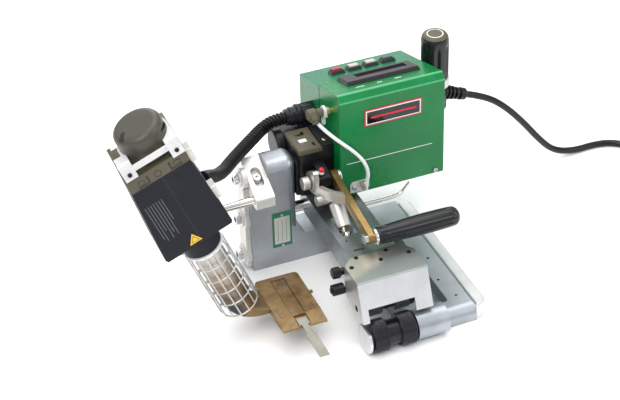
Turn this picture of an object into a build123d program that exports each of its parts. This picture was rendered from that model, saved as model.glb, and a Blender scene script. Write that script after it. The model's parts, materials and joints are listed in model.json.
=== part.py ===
from build123d import *
import math
import os

# Overlap seam welder: a hot-wedge machine that drives itself along the overlap of two membranes.
# Millimetres. While it is drawn, x runs along the rollers' axles, y from the operator's end to the back
# and z up, counted from the point on the floor under the middle of the lower roller. Every finished
# piece is then moved so that the origin lies at the centre of the base plate's sole.

# driving dimensions
ROLLER_W = 49.0
LOWER_R = 17.5
LOWER_Z = 18.0
UPPER_R = 11.5
UPPER_Y, UPPER_Z = 15.0, 49.0
GROOVE_W = 14.0
GROOVE_DEPTH = 3.5
FIT = 0.05
GAP = 0.3

BASE_X0, BASE_X1 = 20.0, 102.0
BASE_Y0, BASE_Y1 = 0.0, 214.5
BASE_T = 18.0
RAIL_X1 = 115.5
RAIL_T = 20.0

HOUSING_X0, HOUSING_X1 = -88.5, -32.5
HOUSING_Y0, HOUSING_Y1 = 178.5, 214.5
HOUSING_Z = 138.0
CROSSBAR_Z = 35.0
BLOCK_X1 = -66.0
BLOCK_Z0 = 97.5
SHAFT_Y, SHAFT_Z, SHAFT_R = 168.0, 105.0, 5.0
SHAFT_X0 = -200.0
MOTOR_X0 = -39.0
PIVOT_Y, PIVOT_Z, PIVOT_R = 190.0, 66.0, 6.5

ARM_X0, ARM_X1 = -20.5, 33.5
ARM_Z0, ARM_Z1 = 50.0, 80.0
ARM_WALL = 3.0
ARM_Y0 = 42.0
HEAD_X0, HEAD_X1 = -33.0, 47.5
HEAD_Z1 = 83.0
HEAD_WALL = 4.0

BOX_X0, BOX_X1 = 12.5, 138.0
BOX_Y0, BOX_Y1 = 163.0, 281.0
BOX_Z0 = 83.0
BOX_BEND_Z = 205.0
BOX_TOP_Y, BOX_TOP_Z = 170.3, 212.0
BOX_BACK_Z = 177.5
BOX_SEAM_Y = 221.0
SHEET = 2.0
TOP_SLOPE = math.atan2(BOX_TOP_Z - BOX_BACK_Z, BOX_Y1 - BOX_TOP_Y)

GEARBOX_X0, GEARBOX_X1 = -29.0, 12.3
GEARBOX_Y0, GEARBOX_Y1 = 181.0, 256.0
GEARBOX_Z0, GEARBOX_Z1 = 84.0, 138.0
GEARBOX_TOP = 144.0
LID_Y1 = 225.0
MOTOR_Y, MOTOR_Z, MOTOR_R = 236.0, 122.0, 19.0

LEVER_Y, LEVER_Z = 163.0, 114.0
LEVER_PIN_R = 4.0
GRIP_Y, GRIP_Z = 63.0, 98.0
BAR_X0, BAR_W, BAR_H = 0.75, 7.5, 12.0
STRUT_X = -3.0
STRUT_TOP = (140.0, 95.0)
STRUT_ANGLE = 52.0
STRUT_LENGTH = 29.0
STRUT_R = 8.0

BLOWER_LEAN = 22.0
BLOWER_FOOT = (-139.0, 83.0, 41.0)
CASING_T0, CASING_T1, CASING_T2 = 125.0, 222.0, 236.0
CASING_DEPTH = 60.0
MOTOR_SHIFT = 6.0
BLOWER_MOTOR_R = 27.0
# each ear of the motor's strap: its middle, its front and its back
STRAP_EARS = [(-23.8, -33.5, -30.3), (27.6, -38.0, -33.0)]
EAR_W, EAR_T0, EAR_HEIGHT = 13.5, 241.0, 21.0
TUBE_R = 17.0
CAGE_R = 22.0
TUBE_LENGTH = 95.0

WEDGE_X = -87.0
WEDGE_W = 50.0
WEDGE_Y0, WEDGE_Y1 = 25.0, 114.0
WEDGE_Z0, WEDGE_Z1 = 31.5, 38.0
TONGUE_Z, TONGUE_T = 35.85, 1.1

CORD_D = 8.0
CORD_ROUTE = [
    (196.0, 227.0, 133.4), (222.0, 227.0, 123.5), (249.0, 228.0, 101.0), (274.0, 230.0, 72.0),
    (297.0, 233.0, 41.0), (320.0, 236.0, 15.0), (350.0, 239.0, 4.0), (382.0, 241.0, 4.0),
    (406.0, 237.0, 4.0), (424.0, 231.0, 4.0),
]
COIL_X, COIL_Y = 483.0, 231.0
COIL_MEAN_R = 43.0
COIL_TURNS = 10
COIL_W, COIL_H = 4 * CORD_D, 3 * CORD_D
PLUG_R = 17.0
PLUG_X, PLUG_Y, PLUG_Z = COIL_X - 22, COIL_Y - 40, COIL_H + 13
SENSOR_D = 4.0
SENSOR_ROUTE = [
    (-9.0, 181.0, 177.5), (-1.0, 172.0, 169.0), (9.5, 161.5, 160.0), (25.0, 156.0, 146.0),
    (36.0, 153.0, 132.5), (41.0, 152.0, 115.0), (40.0, 156.0, 100.5),
]
HOSE_D = 14.0
HOSE_ROUTE = [
    (-22.0, 240.0, 152.0), (-36.0, 240.0, 152.0), (-53.0, 232.0, 150.0), (-69.0, 219.0, 149.0),
    (-86.0, 204.0, 149.5), (-104.0, 186.0, 151.5), (-122.0, 165.0, 156.0), (-138.0, 145.0, 168.0),
    (-150.0, 126.0, 182.0),
]

SOLE_X = (BASE_X0 + BASE_X1) / 2
SOLE_Y = (BASE_Y0 + BASE_Y1) / 2

os.makedirs("parts", exist_ok=True)
weights = []


def finish(piece, label):
    """Move a finished piece to the sole's frame, label it and write it."""
    solid = Pos(-SOLE_X, -SOLE_Y, 0) * piece
    solid.label = label
    export_step(solid, f"parts/{label}.step")
    weights.append((label, solid.volume))


def along_x(x, y, z):
    """A plane whose normal is +X, for sketches of pieces that lie across the machine."""
    return Plane(origin=(x, y, z), x_dir=(0, 1, 0), z_dir=(1, 0, 0))


def cord_path_radii(route):
    """Each corner's radius: 0.45 of the shorter run over the tangent of half the turn."""
    points = [Vector(*p) for p in route]
    radii = []
    for before, corner, after in zip(points, points[1:], points[2:]):
        turn = (corner - before).get_angle(after - corner)
        shorter = min((corner - before).length, (after - corner).length)
        radii.append(0.45 * shorter / math.tan(math.radians(turn) / 2))
    return radii


def round_tube(route, diameter, label):
    """A round cord as one tube: straight runs joined by tangent arcs."""
    radii = cord_path_radii(route)
    with BuildPart() as tube:
        with BuildLine() as path:
            FilletPolyline(*route, radius=radii)
        wire = path.wires()[0]
        with BuildSketch(Plane(origin=wire @ 0, z_dir=wire % 0)):
            Circle(diameter / 2)
        sweep(path=wire)
    section = math.pi * diameter ** 2 / 4
    print(label, "radii", [round(r) for r in radii], "length", round(wire.length, 1),
          "volume ratio", round(tube.part.volume / (section * wire.length), 4))
    finish(tube.part, label)
    return wire.length


# ---------------------------------------------------------------- lower chassis

def base_plate():
    with BuildPart() as plate:
        with BuildSketch():
            with Locations(((BASE_X0 + BASE_X1) / 2, (BASE_Y0 + BASE_Y1) / 2)):
                Rectangle(BASE_X1 - BASE_X0, BASE_Y1 - BASE_Y0)
        extrude(amount=BASE_T)
        nose = plate.edges().filter_by(Axis.X).group_by(Axis.Y)[0].sort_by(Axis.Z)[-1]
        fillet(nose, radius=13)
        pocket_x0, pocket_x1, pocket_y0, pocket_y1 = 30.0, 78.0, 22.0, 176.0
        with BuildSketch(Plane.XY.offset(BASE_T)):
            with Locations(((pocket_x0 + pocket_x1) / 2, (pocket_y0 + pocket_y1) / 2)):
                RectangleRounded(pocket_x1 - pocket_x0, pocket_y1 - pocket_y0, 4)
        extrude(amount=4 - BASE_T, mode=Mode.SUBTRACT)
        # rear step down, so that the crossbar's end stands on the plate's back edge
        with BuildSketch(Plane.XY.offset(BASE_T)):
            with Locations((BASE_X0, (HOUSING_Y0 + HOUSING_Y1) / 2)):
                Rectangle(2 * 14.2, HOUSING_Y1 - HOUSING_Y0 + 0.4)
        extrude(amount=-BASE_T, mode=Mode.SUBTRACT)
        # boss that carries the roller's axle
        with BuildSketch(along_x(26.5, 0, LOWER_Z)):
            Circle(16.5)
        extrude(amount=36)
        with BuildSketch(Plane.XY):
            with Locations((41, 3)):
                RectangleRounded(30, 18, 3)
        extrude(amount=6)
        with BuildSketch(along_x(26.5, 0, LOWER_Z)):
            Circle(5)
        extrude(amount=30, mode=Mode.SUBTRACT)
        # room for the roller beside the boss
        with BuildSketch(along_x(BASE_X0 - 1, 0, LOWER_Z)):
            Circle(LOWER_R + 1)
        extrude(amount=26 - BASE_X0 + 1, mode=Mode.SUBTRACT)
        with Locations((90, 28, BASE_T), (90, 100, BASE_T), (90, 170, BASE_T)):
            Hole(1.6, depth=8)
    finish(plate.part, "base_plate")


def side_rail():
    with BuildPart() as rail:
        with BuildSketch():
            with BuildLine():
                Polyline((BASE_X1, 2), (BASE_X1, 208), (RAIL_X1, 208), (RAIL_X1, 2), close=True)
            make_face()
        extrude(amount=RAIL_T)
        outer = rail.edges().filter_by(Axis.Z).group_by(Axis.X)[-1]
        fillet(outer.sort_by(Axis.Y)[0], radius=11)
        fillet(rail.edges().filter_by(Axis.Z).group_by(Axis.X)[-1].sort_by(Axis.Y)[-1], radius=6)
        chamfer(rail.faces().sort_by(Axis.Z)[-1].edges(), length=1)
    finish(rail.part, "side_rail")


def frame_housing():
    end = BASE_X0 + 14
    with BuildPart() as housing:
        with BuildSketch(Plane.XZ.offset(-HOUSING_Y1)):
            with BuildLine():
                Polyline((HOUSING_X0, 0), (end, 0), (end, CROSSBAR_Z), (HOUSING_X1 + 7, CROSSBAR_Z),
                         (HOUSING_X1, CROSSBAR_Z + 7), (HOUSING_X1, HOUSING_Z), (BLOCK_X1, HOUSING_Z),
                         (BLOCK_X1, BLOCK_Z0), (HOUSING_X0, BLOCK_Z0), close=True)
            make_face()
        extrude(amount=HOUSING_Y1 - HOUSING_Y0)
        corner = housing.edges().filter_by(Axis.Y).filter_by_position(Axis.X, HOUSING_X1 - 0.1, HOUSING_X1 + 0.1)
        fillet(corner.sort_by(Axis.Z)[-1], radius=10)
        top = housing.faces().sort_by(Axis.Z)[-1].edges().filter_by(Axis.X)
        fillet(top, radius=12)
        with BuildSketch(along_x(HOUSING_X0 + 20, PIVOT_Y, PIVOT_Z)):
            Circle(PIVOT_R)
        extrude(amount=40, mode=Mode.SUBTRACT)
        lobes = [(HOUSING_X0, LOBE_Y, z) for z in LOBE_Z[:2]]
        for place in lobes:
            with BuildSketch(along_x(*place)):
                Circle(4)
            extrude(amount=14, mode=Mode.SUBTRACT)
    finish(housing.part, "frame_housing")


LOBE_Y, LOBE_R = 194.0, 13.0
LOBE_Z = (17.0, 66.0, 120.0)
COVER_T = 6.0
BOLT_HEAD = 6.0


def side_cover():
    with BuildPart() as cover:
        with BuildSketch(along_x(HOUSING_X0, LOBE_Y, 0)):
            with Locations((0, 57)):
                Rectangle(20, 106)
            for z in LOBE_Z:
                with Locations((0, z)):
                    Circle(LOBE_R)
        extrude(amount=-COVER_T)
        for z in LOBE_Z:
            with BuildSketch(along_x(HOUSING_X0 - COVER_T, LOBE_Y, z)):
                Circle(LOBE_R - 3)
                Circle(4, mode=Mode.SUBTRACT)
            extrude(amount=-2.5)
            with BuildSketch(along_x(HOUSING_X0 - COVER_T, LOBE_Y, z)):
                Circle(4)
            extrude(amount=COVER_T, mode=Mode.SUBTRACT)
    finish(cover.part, "side_cover")


BOLT_SEAT_X = HOUSING_X0 - COVER_T - 2.5
CLAMP_FACE_Y, CLAMP_FACE_Z = 184.0, 123.0
CLAMP_SLANT = math.degrees(math.atan2(134.5 - 111, 206 - 160))


def clamp_face_plane(depth):
    """The clamp block's slanted top, lowered by depth."""
    slant = math.radians(CLAMP_SLANT)
    normal = (0, -math.sin(slant), math.cos(slant))
    x_mid = (HOUSING_X0 + BLOCK_X1) / 2
    origin = Vector(x_mid, CLAMP_FACE_Y, CLAMP_FACE_Z) - Vector(*normal) * depth
    return Plane(origin=origin, x_dir=(1, 0, 0), z_dir=normal)


def clamp_block():
    with BuildPart() as block:
        with BuildSketch(along_x(HOUSING_X0, 0, 0)):
            with BuildLine():
                Polyline((159, BLOCK_Z0), (HOUSING_Y1, BLOCK_Z0), (HOUSING_Y1, 131), (208, 135.5),
                         (161, 111.5), (159, 109), close=True)
            make_face()
        extrude(amount=BLOCK_X1 - HOUSING_X0)
        with BuildSketch(along_x(HOUSING_X0, SHAFT_Y, SHAFT_Z)):
            Circle(SHAFT_R)
        extrude(amount=20, mode=Mode.SUBTRACT)
        with BuildSketch(clamp_face_plane(-6)):
            SlotOverall(24, 10, rotation=90)
        extrude(amount=-13, mode=Mode.SUBTRACT)
        with BuildSketch(clamp_face_plane(6)):
            Circle(4)
        extrude(amount=-11, mode=Mode.SUBTRACT)
        # only the part in front of the housing and above its shoulder remains
        with BuildSketch(along_x(HOUSING_X0, 0, 0)):
            with Locations(((HOUSING_Y0 + HOUSING_Y1) / 2, BLOCK_Z0 / 2)):
                Rectangle(HOUSING_Y1 - HOUSING_Y0, BLOCK_Z0)
        extrude(amount=BLOCK_X1 - HOUSING_X0, mode=Mode.SUBTRACT)
    finish(block.part, "clamp_block")


def socket_bolts():
    seats = [(Plane(origin=(BOLT_SEAT_X, LOBE_Y, z), x_dir=(0, 1, 0), z_dir=(-1, 0, 0)), 6.5, 3.2, shank)
             for z, shank in zip(LOBE_Z, (20.0, 20.0, HOUSING_X0 - BOLT_SEAT_X))]
    seats.append((clamp_face_plane(6.4), 4.6, 2.6, 9.0))
    with BuildPart() as bolts:
        for seat, head_r, socket_r, shank in seats:
            with BuildSketch(seat):
                Circle(head_r)
                RegularPolygon(socket_r, 6, mode=Mode.SUBTRACT)
            extrude(amount=BOLT_HEAD)
            with BuildSketch(seat):
                Circle(3.95)
            extrude(amount=-shank)
    finish(bolts.part, "socket_bolts")


def guide_shaft():
    with BuildPart() as shaft:
        with BuildSketch(along_x(SHAFT_X0, SHAFT_Y, SHAFT_Z)):
            Circle(SHAFT_R)
        extrude(amount=HOUSING_X0 + 19 - SHAFT_X0)
        chamfer(shaft.edges().sort_by(Axis.X)[0], length=1)
    finish(shaft.part, "guide_shaft")


def pivot_shaft():
    with BuildPart() as shaft:
        with BuildSketch(along_x(HOUSING_X0 + 22, PIVOT_Y, PIVOT_Z)):
            Circle(PIVOT_R)
        extrude(amount=ARM_X1 + 2 - (HOUSING_X0 + 22))
        chamfer(shaft.edges().sort_by(Axis.X)[-1], length=1)
    finish(shaft.part, "pivot_shaft")


def lower_axle():
    with BuildPart() as axle:
        with BuildSketch(along_x(-27.5, 0, LOWER_Z)):
            Circle(4.95)
        extrude(amount=84)
        with BuildSketch(along_x(-30.5, 0, LOWER_Z)):
            Circle(16.8)
            with Locations((0, 16.8)):
                Rectangle(40, 9, mode=Mode.SUBTRACT)
        extrude(amount=3)
        fillet(axle.faces().sort_by(Axis.X)[0].edges(), radius=0.8)
    finish(axle.part, "lower_axle")


def roller(radius, bore, y, z, label, hub=0.0):
    """A drive roller: two knurled bands with a plain groove between them."""
    with BuildPart() as body:
        with BuildSketch(along_x(-ROLLER_W / 2, y, z)):
            Circle(radius)
            Circle(bore, mode=Mode.SUBTRACT)
        extrude(amount=ROLLER_W)
        with BuildSketch(along_x(-GROOVE_W / 2, y, z)):
            Circle(radius + 1)
            Circle(radius - GROOVE_DEPTH, mode=Mode.SUBTRACT)
        extrude(amount=GROOVE_W, mode=Mode.SUBTRACT)
        rims = body.edges().filter_by(GeomType.CIRCLE).filter_by(lambda e: abs(e.radius - radius) < 0.01)
        chamfer(rims, length=0.6)
        if hub:
            with BuildSketch(along_x(ROLLER_W / 2, y, z)):
                Circle(6.5)
                Circle(bore, mode=Mode.SUBTRACT)
            extrude(amount=hub)
            with BuildSketch(along_x(ROLLER_W / 2 + hub, y, z)):
                Circle(CHAIN_R - 0.3)
                Circle(bore, mode=Mode.SUBTRACT)
            extrude(amount=CHAIN_W - 0.6)
    finish(body.part, label)


# ---------------------------------------------------------------- arm and roller head

CHAIN_X0, CHAIN_W = 26.4, 3.0
CHAIN_R = 8.0
CHAIN_LINK = 2.5


def arm_channel():
    round_r = 14.0
    with BuildPart() as arm:
        with BuildSketch(along_x(ARM_X0, 0, 0)):
            with BuildLine():
                Polyline((ARM_Y0, ARM_Z0), (PIVOT_Y, ARM_Z0 + 2), (PIVOT_Y + round_r, ARM_Z0 + 2),
                         (PIVOT_Y + round_r, ARM_Z1), (ARM_Y0, ARM_Z1), close=True)
            make_face()
        extrude(amount=ARM_X1 - ARM_X0)
        fillet(arm.edges().filter_by(Axis.X).group_by(Axis.Y)[-1], radius=13)
        with BuildSketch(along_x(ARM_X0 + ARM_WALL, 0, 0)):
            with Locations(((ARM_Y0 + PIVOT_Y + round_r) / 2 + 2, (ARM_Z0 + ARM_Z1 - ARM_WALL) / 2 - 1)):
                Rectangle(PIVOT_Y + round_r - ARM_Y0 + 20, ARM_Z1 - ARM_WALL - ARM_Z0 + 2)
        extrude(amount=ARM_X1 - ARM_X0 - 2 * ARM_WALL, mode=Mode.SUBTRACT)
        # pivot bosses and bore
        with BuildSketch(along_x(ARM_X0, PIVOT_Y, PIVOT_Z)):
            Circle(10.5)
        extrude(amount=9)
        with BuildSketch(along_x(ARM_X0 - 1, PIVOT_Y, PIVOT_Z)):
            Circle(PIVOT_R + FIT)
        extrude(amount=ARM_X1 - ARM_X0 + 2, mode=Mode.SUBTRACT)
        # slot for the clamping strut, the engraved slot and small holes in the web
        with BuildSketch(Plane.XY.offset(ARM_Z1)):
            with Locations((STRUT_X, 118)):
                RectangleRounded(19, 40, 4)
            with Locations((-5, 71)):
                Rectangle(13, 2.4)
            with Locations((1.2, 76), (-12, 90)):
                Circle(1.3)
        extrude(amount=-ARM_WALL, mode=Mode.SUBTRACT)
    finish(arm.part, "arm_channel")


HEAD_FRONT_TOP = (12.0, HEAD_Z1)
HEAD_SIDE = [HEAD_FRONT_TOP, (57.0, HEAD_Z1), (57.0, 62.0), (45.0, 46.0), (16.0, 39.5), (4.0, 37.4),
             (-4.5, 41.0)]
SCREW_PLACES = [(-16, 54.7), (18.4, 54.6), (-27, 41), (7, 41.7), (39.5, 41.7)]


def head_housing():
    with BuildPart() as head:
        with BuildSketch(along_x(HEAD_X0, 0, 0)):
            with BuildLine():
                Polyline(*HEAD_SIDE, close=True)
            make_face()
        extrude(amount=HEAD_X1 - HEAD_X0)
        # the top plate's back corners are cut off
        back = head.edges().filter_by(Axis.Z).group_by(Axis.Y)[-1]
        chamfer(back, length=11)
        fillet(head.edges().filter_by(Axis.X).group_by(Axis.Z)[-1].sort_by(Axis.Y)[0], radius=1.5)
        inner = [(13.6, ARM_Z1), (80.0, ARM_Z1), (80.0, 20.0), (-9.6, 20.0)]
        with BuildSketch(along_x(HEAD_X0 + HEAD_WALL, 0, 0)):
            with BuildLine():
                Polyline(*inner, close=True)
            make_face()
        extrude(amount=HEAD_X1 - HEAD_X0 - 2 * HEAD_WALL, mode=Mode.SUBTRACT)
        # window for the upper roller in the front wall
        with BuildSketch(Plane.XZ.offset(20)):
            with BuildLine():
                Polyline((-25.5, 30), (-25.5, 55), (28, 55), (28, 30), close=True)
            make_face()
        extrude(amount=-24, mode=Mode.SUBTRACT)
        with BuildSketch(along_x(HEAD_X0 - 1, UPPER_Y, UPPER_Z)):
            Circle(4)
        extrude(amount=HEAD_X1 - HEAD_X0 + 2, mode=Mode.SUBTRACT)
        for x, y in SCREW_PLACES:
            with BuildSketch(Plane(origin=(x, y, HEAD_Z1))):
                Circle(2.6)
            extrude(amount=-1.6, mode=Mode.SUBTRACT)
            with BuildSketch(Plane(origin=(x, y, HEAD_Z1))):
                Circle(1.5)
            extrude(amount=-4, mode=Mode.SUBTRACT)
    finish(head.part, "head_housing")
    with BuildPart() as screws:
        for x, y in SCREW_PLACES:
            with BuildSketch(Plane(origin=(x, y, HEAD_Z1 - 1.5))):
                Circle(2.5)
                RegularPolygon(1.1, 6, mode=Mode.SUBTRACT)
            extrude(amount=1.2)
            with BuildSketch(Plane(origin=(x, y, HEAD_Z1 - 1.5))):
                Circle(1.45)
            extrude(amount=-1.4)
    finish(screws.part, "head_screws")


def upper_axle():
    with BuildPart() as axle:
        with BuildSketch(along_x(HEAD_X0, UPPER_Y, UPPER_Z)):
            Circle(3.98)
        extrude(amount=HEAD_X1 - HEAD_X0)
        with BuildSketch(along_x(HEAD_X0, UPPER_Y, UPPER_Z)):
            RegularPolygon(2, 6)
        extrude(amount=3, mode=Mode.SUBTRACT)
    finish(axle.part, "upper_axle")


def chain_outline(radius):
    """The chain's loop about both sprockets, in a plane across X."""
    run = math.hypot(PIVOT_Y - UPPER_Y, PIVOT_Z - UPPER_Z)
    angle = math.degrees(math.atan2(PIVOT_Z - UPPER_Z, PIVOT_Y - UPPER_Y))
    with Locations(((PIVOT_Y + UPPER_Y) / 2, (PIVOT_Z + UPPER_Z) / 2)):
        SlotCenterToCenter(run, 2 * radius, rotation=angle)


def drive_chain():
    with BuildPart() as chain:
        with BuildSketch(along_x(CHAIN_X0, 0, 0)):
            chain_outline(CHAIN_R + CHAIN_LINK)
        extrude(amount=CHAIN_W)
        with BuildSketch(along_x(CHAIN_X0, 0, 0)):
            chain_outline(CHAIN_R)
        extrude(amount=CHAIN_W, mode=Mode.SUBTRACT)
    finish(chain.part, "drive_chain")


def strut_plane(distance):
    """A plane across the clamping strut's axis, at a distance below its top."""
    tilt = math.radians(STRUT_ANGLE)
    down = Vector(0, -math.sin(tilt), -math.cos(tilt))
    origin = Vector(STRUT_X, *STRUT_TOP) + down * distance
    return Plane(origin=origin, x_dir=(1, 0, 0), z_dir=down)


def clamping_strut():
    with BuildPart() as tube:
        with BuildSketch(strut_plane(0)):
            Circle(STRUT_R)
        extrude(amount=STRUT_LENGTH)
        with BuildSketch(strut_plane(3)):
            Circle(STRUT_R - 1.5)
        extrude(amount=STRUT_LENGTH, mode=Mode.SUBTRACT)
        chamfer(tube.faces().sort_by(Axis.Z)[-1].outer_wire().edges(), length=0.6)
    finish(tube.part, "strut_tube")
    with BuildPart() as spindle:
        with BuildSketch(strut_plane(8)):
            Circle(3)
        extrude(amount=36)
        with BuildSketch(strut_plane(8)):
            Circle(STRUT_R - 1.6)
        extrude(amount=3)
        end = strut_plane(46).origin
        with BuildSketch(along_x(ARM_X0 + ARM_WALL, end.Y, end.Z)):
            Circle(5)
        extrude(amount=30)
    finish(spindle.part, "strut_spindle")
    with BuildPart() as nut:
        with BuildSketch(strut_plane(STRUT_LENGTH + 0.6)):
            RegularPolygon(7.2, 6)
            Circle(3 + FIT, mode=Mode.SUBTRACT)
        extrude(amount=6)
        with BuildSketch(strut_plane(STRUT_LENGTH + 6.6)):
            Circle(5)
            Circle(3 + FIT, mode=Mode.SUBTRACT)
        extrude(amount=3)
    finish(nut.part, "adjusting_nut")


GUIDE_Y, GUIDE_Z = 48.5, 53.0


def guide_parts():
    with BuildPart() as guide:
        with BuildSketch(along_x(HEAD_X0 - 14, GUIDE_Y, GUIDE_Z)):
            Circle(6.3)
            Circle(2 + FIT, mode=Mode.SUBTRACT)
        extrude(amount=13.4)
        fillet(guide.edges().sort_by(Axis.X)[0:2].sort_by(SortBy.LENGTH)[-1], radius=1)
    finish(guide.part, "guide_roller")
    with BuildPart() as knob:
        with BuildSketch(along_x(ARM_X0 - 24, 54, 71)):
            RegularPolygon(6.4, 6)
        extrude(amount=9)
        chamfer(knob.faces().sort_by(Axis.X)[0].edges(), length=0.8)
        with BuildSketch(along_x(ARM_X0 - 15, 54, 71)):
            Circle(4)
        extrude(amount=15)
        # the guide roller's own spindle, screwed into the head's wall
        with BuildSketch(along_x(HEAD_X0 - 15.5, GUIDE_Y, GUIDE_Z)):
            Circle(3.2)
        extrude(amount=1.2)
        with BuildSketch(along_x(HEAD_X0 - 14.3, GUIDE_Y, GUIDE_Z)):
            Circle(2)
        extrude(amount=14.3)
    finish(knob.part, "side_knobs")


def sheet_guide_rod():
    route = [(ARM_X1, 165, 63.5), (72, 165, 63.5), (86, 165, 65.5), (97, 165, 78.5)]
    with BuildPart() as rod:
        with BuildLine() as path:
            FilletPolyline(*route, radius=12)
        with BuildSketch(along_x(*route[0])):
            Circle(2)
        sweep()
        with BuildSketch(along_x(ARM_X1, 165, 63.5)):
            Circle(4)
        extrude(amount=4)
    finish(rod.part, "sheet_guide_rod")


# ---------------------------------------------------------------- lever

def bar_plane(x):
    """A plane across X through the lever's pivot, with its own x along the bar to the grip."""
    run = math.hypot(GRIP_Y - LEVER_Y, GRIP_Z - LEVER_Z)
    return Plane(origin=(x, LEVER_Y, LEVER_Z), x_dir=(0, (GRIP_Y - LEVER_Y) / run, (GRIP_Z - LEVER_Z) / run),
                 z_dir=(1, 0, 0))


LEVER_RUN = math.hypot(GRIP_Y - LEVER_Y, GRIP_Z - LEVER_Z)
CROSS_Y, CROSS_Z, CROSS_R = 145.8, 99.5, 6.0


def lever_bar():
    with BuildPart() as bar:
        with BuildSketch(bar_plane(BAR_X0)):
            with Locations((LEVER_RUN / 2, 0)):
                SlotCenterToCenter(LEVER_RUN, BAR_H)
        extrude(amount=BAR_W)
        with BuildSketch(bar_plane(BAR_X0)):
            Circle(7.5)
        extrude(amount=BAR_W)
        with BuildSketch(bar_plane(BAR_X0)):
            Circle(LEVER_PIN_R + FIT)
        extrude(amount=BAR_W, mode=Mode.SUBTRACT)
        # stud for the grip, its collar and the head on the other side
        with BuildSketch(along_x(BAR_X0 + BAR_W, GRIP_Y, GRIP_Z)):
            Circle(9.2)
        extrude(amount=2.6)
        with BuildSketch(along_x(BAR_X0 + BAR_W, GRIP_Y, GRIP_Z)):
            Circle(4)
        extrude(amount=90)
        with BuildSketch(along_x(BAR_X0, GRIP_Y, GRIP_Z)):
            RegularPolygon(6, 6)
        extrude(amount=-4.5)
    finish(bar.part, "lever_bar")


def lever_fork():
    """The bowed strap from the pivot's left end to the bar, with the cross pin that presses the strut."""
    cheek_x, cheek_t = -24.0, 6.0
    with BuildPart() as fork:
        with BuildSketch(Plane.XY.offset(103)):
            with BuildLine():
                outer = Spline((cheek_x, 166), (-19.5, 146), (-9, 131), (BAR_X0, 122),
                               tangents=[(0, -1), (1, -1)])
                lower_end = Line(outer @ 1, (BAR_X0, 129))
                inner = Spline((BAR_X0, 129), (-6, 136), (-13.5, 148), (cheek_x + cheek_t, 166),
                               tangents=[(-1, 1), (0, 1)])
                Line(inner @ 1, outer @ 0)
            make_face()
        extrude(amount=12)
        with BuildSketch(along_x(cheek_x, LEVER_Y, LEVER_Z)):
            Circle(12)
            with BuildLine():
                Polyline((-12, 0), (-12, 17), (-9, 19), (-4, 17), (4, 11), close=True)
            make_face()
        extrude(amount=cheek_t)
        with BuildSketch(along_x(cheek_x, CROSS_Y, CROSS_Z)):
            Circle(CROSS_R)
        extrude(amount=BAR_X0 - cheek_x)
        with BuildSketch(along_x(cheek_x - 1, LEVER_Y, LEVER_Z)):
            Circle(LEVER_PIN_R + FIT)
        extrude(amount=cheek_t + 2, mode=Mode.SUBTRACT)
        with BuildSketch(along_x(cheek_x + cheek_t, LEVER_Y, LEVER_Z)):
            Circle(13)
        extrude(amount=BAR_X0 - cheek_x - cheek_t, mode=Mode.SUBTRACT)
    finish(fork.part, "lever_fork")


def lever_grip():
    x0, x1 = BAR_X0 + BAR_W + 3.2, 109.0
    with BuildPart() as grip:
        with BuildSketch(Plane(origin=(0, GRIP_Y, GRIP_Z), x_dir=(1, 0, 0), z_dir=(0, -1, 0))):
            with BuildLine():
                profile = Spline((x0, 9.0), (x0 + 26, 11.2), (x0 + 62, 12.2), (x1 - 8, 10.6))
                nose = TangentArc(profile @ 1, (x1, 4.5), tangent=profile % 1)
                Polyline(nose @ 1, (x1, 0), (x0 + 88, 0), (x0 + 88, 4 + FIT), (x0, 4 + FIT), (x0, 9.0))
            make_face()
        revolve(axis=Axis((0, GRIP_Y, GRIP_Z), (1, 0, 0)))
    finish(grip.part, "lever_grip")


def lever_mount():
    with BuildPart() as bracket:
        with BuildSketch(along_x(-13.5, 0, 0)):
            with BuildLine():
                Polyline((GEARBOX_Y0, 100), (GEARBOX_Y0, 127), (166, 124), (156, 120), (156, 108),
                         (166, 104), close=True)
            make_face()
        extrude(amount=12)
        fillet(bracket.edges().filter_by(Axis.X).group_by(Axis.Y)[0], radius=4)
        with BuildSketch(along_x(-14, LEVER_Y, LEVER_Z)):
            Circle(LEVER_PIN_R)
        extrude(amount=14, mode=Mode.SUBTRACT)
    finish(bracket.part, "lever_bracket")
    with BuildPart() as pin:
        with BuildSketch(along_x(-33, LEVER_Y, LEVER_Z)):
            Circle(7.5)
        extrude(amount=8.4)
        with BuildSketch(along_x(-25, LEVER_Y, LEVER_Z)):
            Circle(LEVER_PIN_R - 0.01)
        extrude(amount=BAR_X0 + BAR_W + 25 + 1)
        with BuildSketch(along_x(BAR_X0 + BAR_W + 0.4, LEVER_Y, LEVER_Z)):
            Circle(7)
        extrude(amount=3.4)
    finish(pin.part, "lever_pin")


# ---------------------------------------------------------------- gearbox and control box

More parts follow.
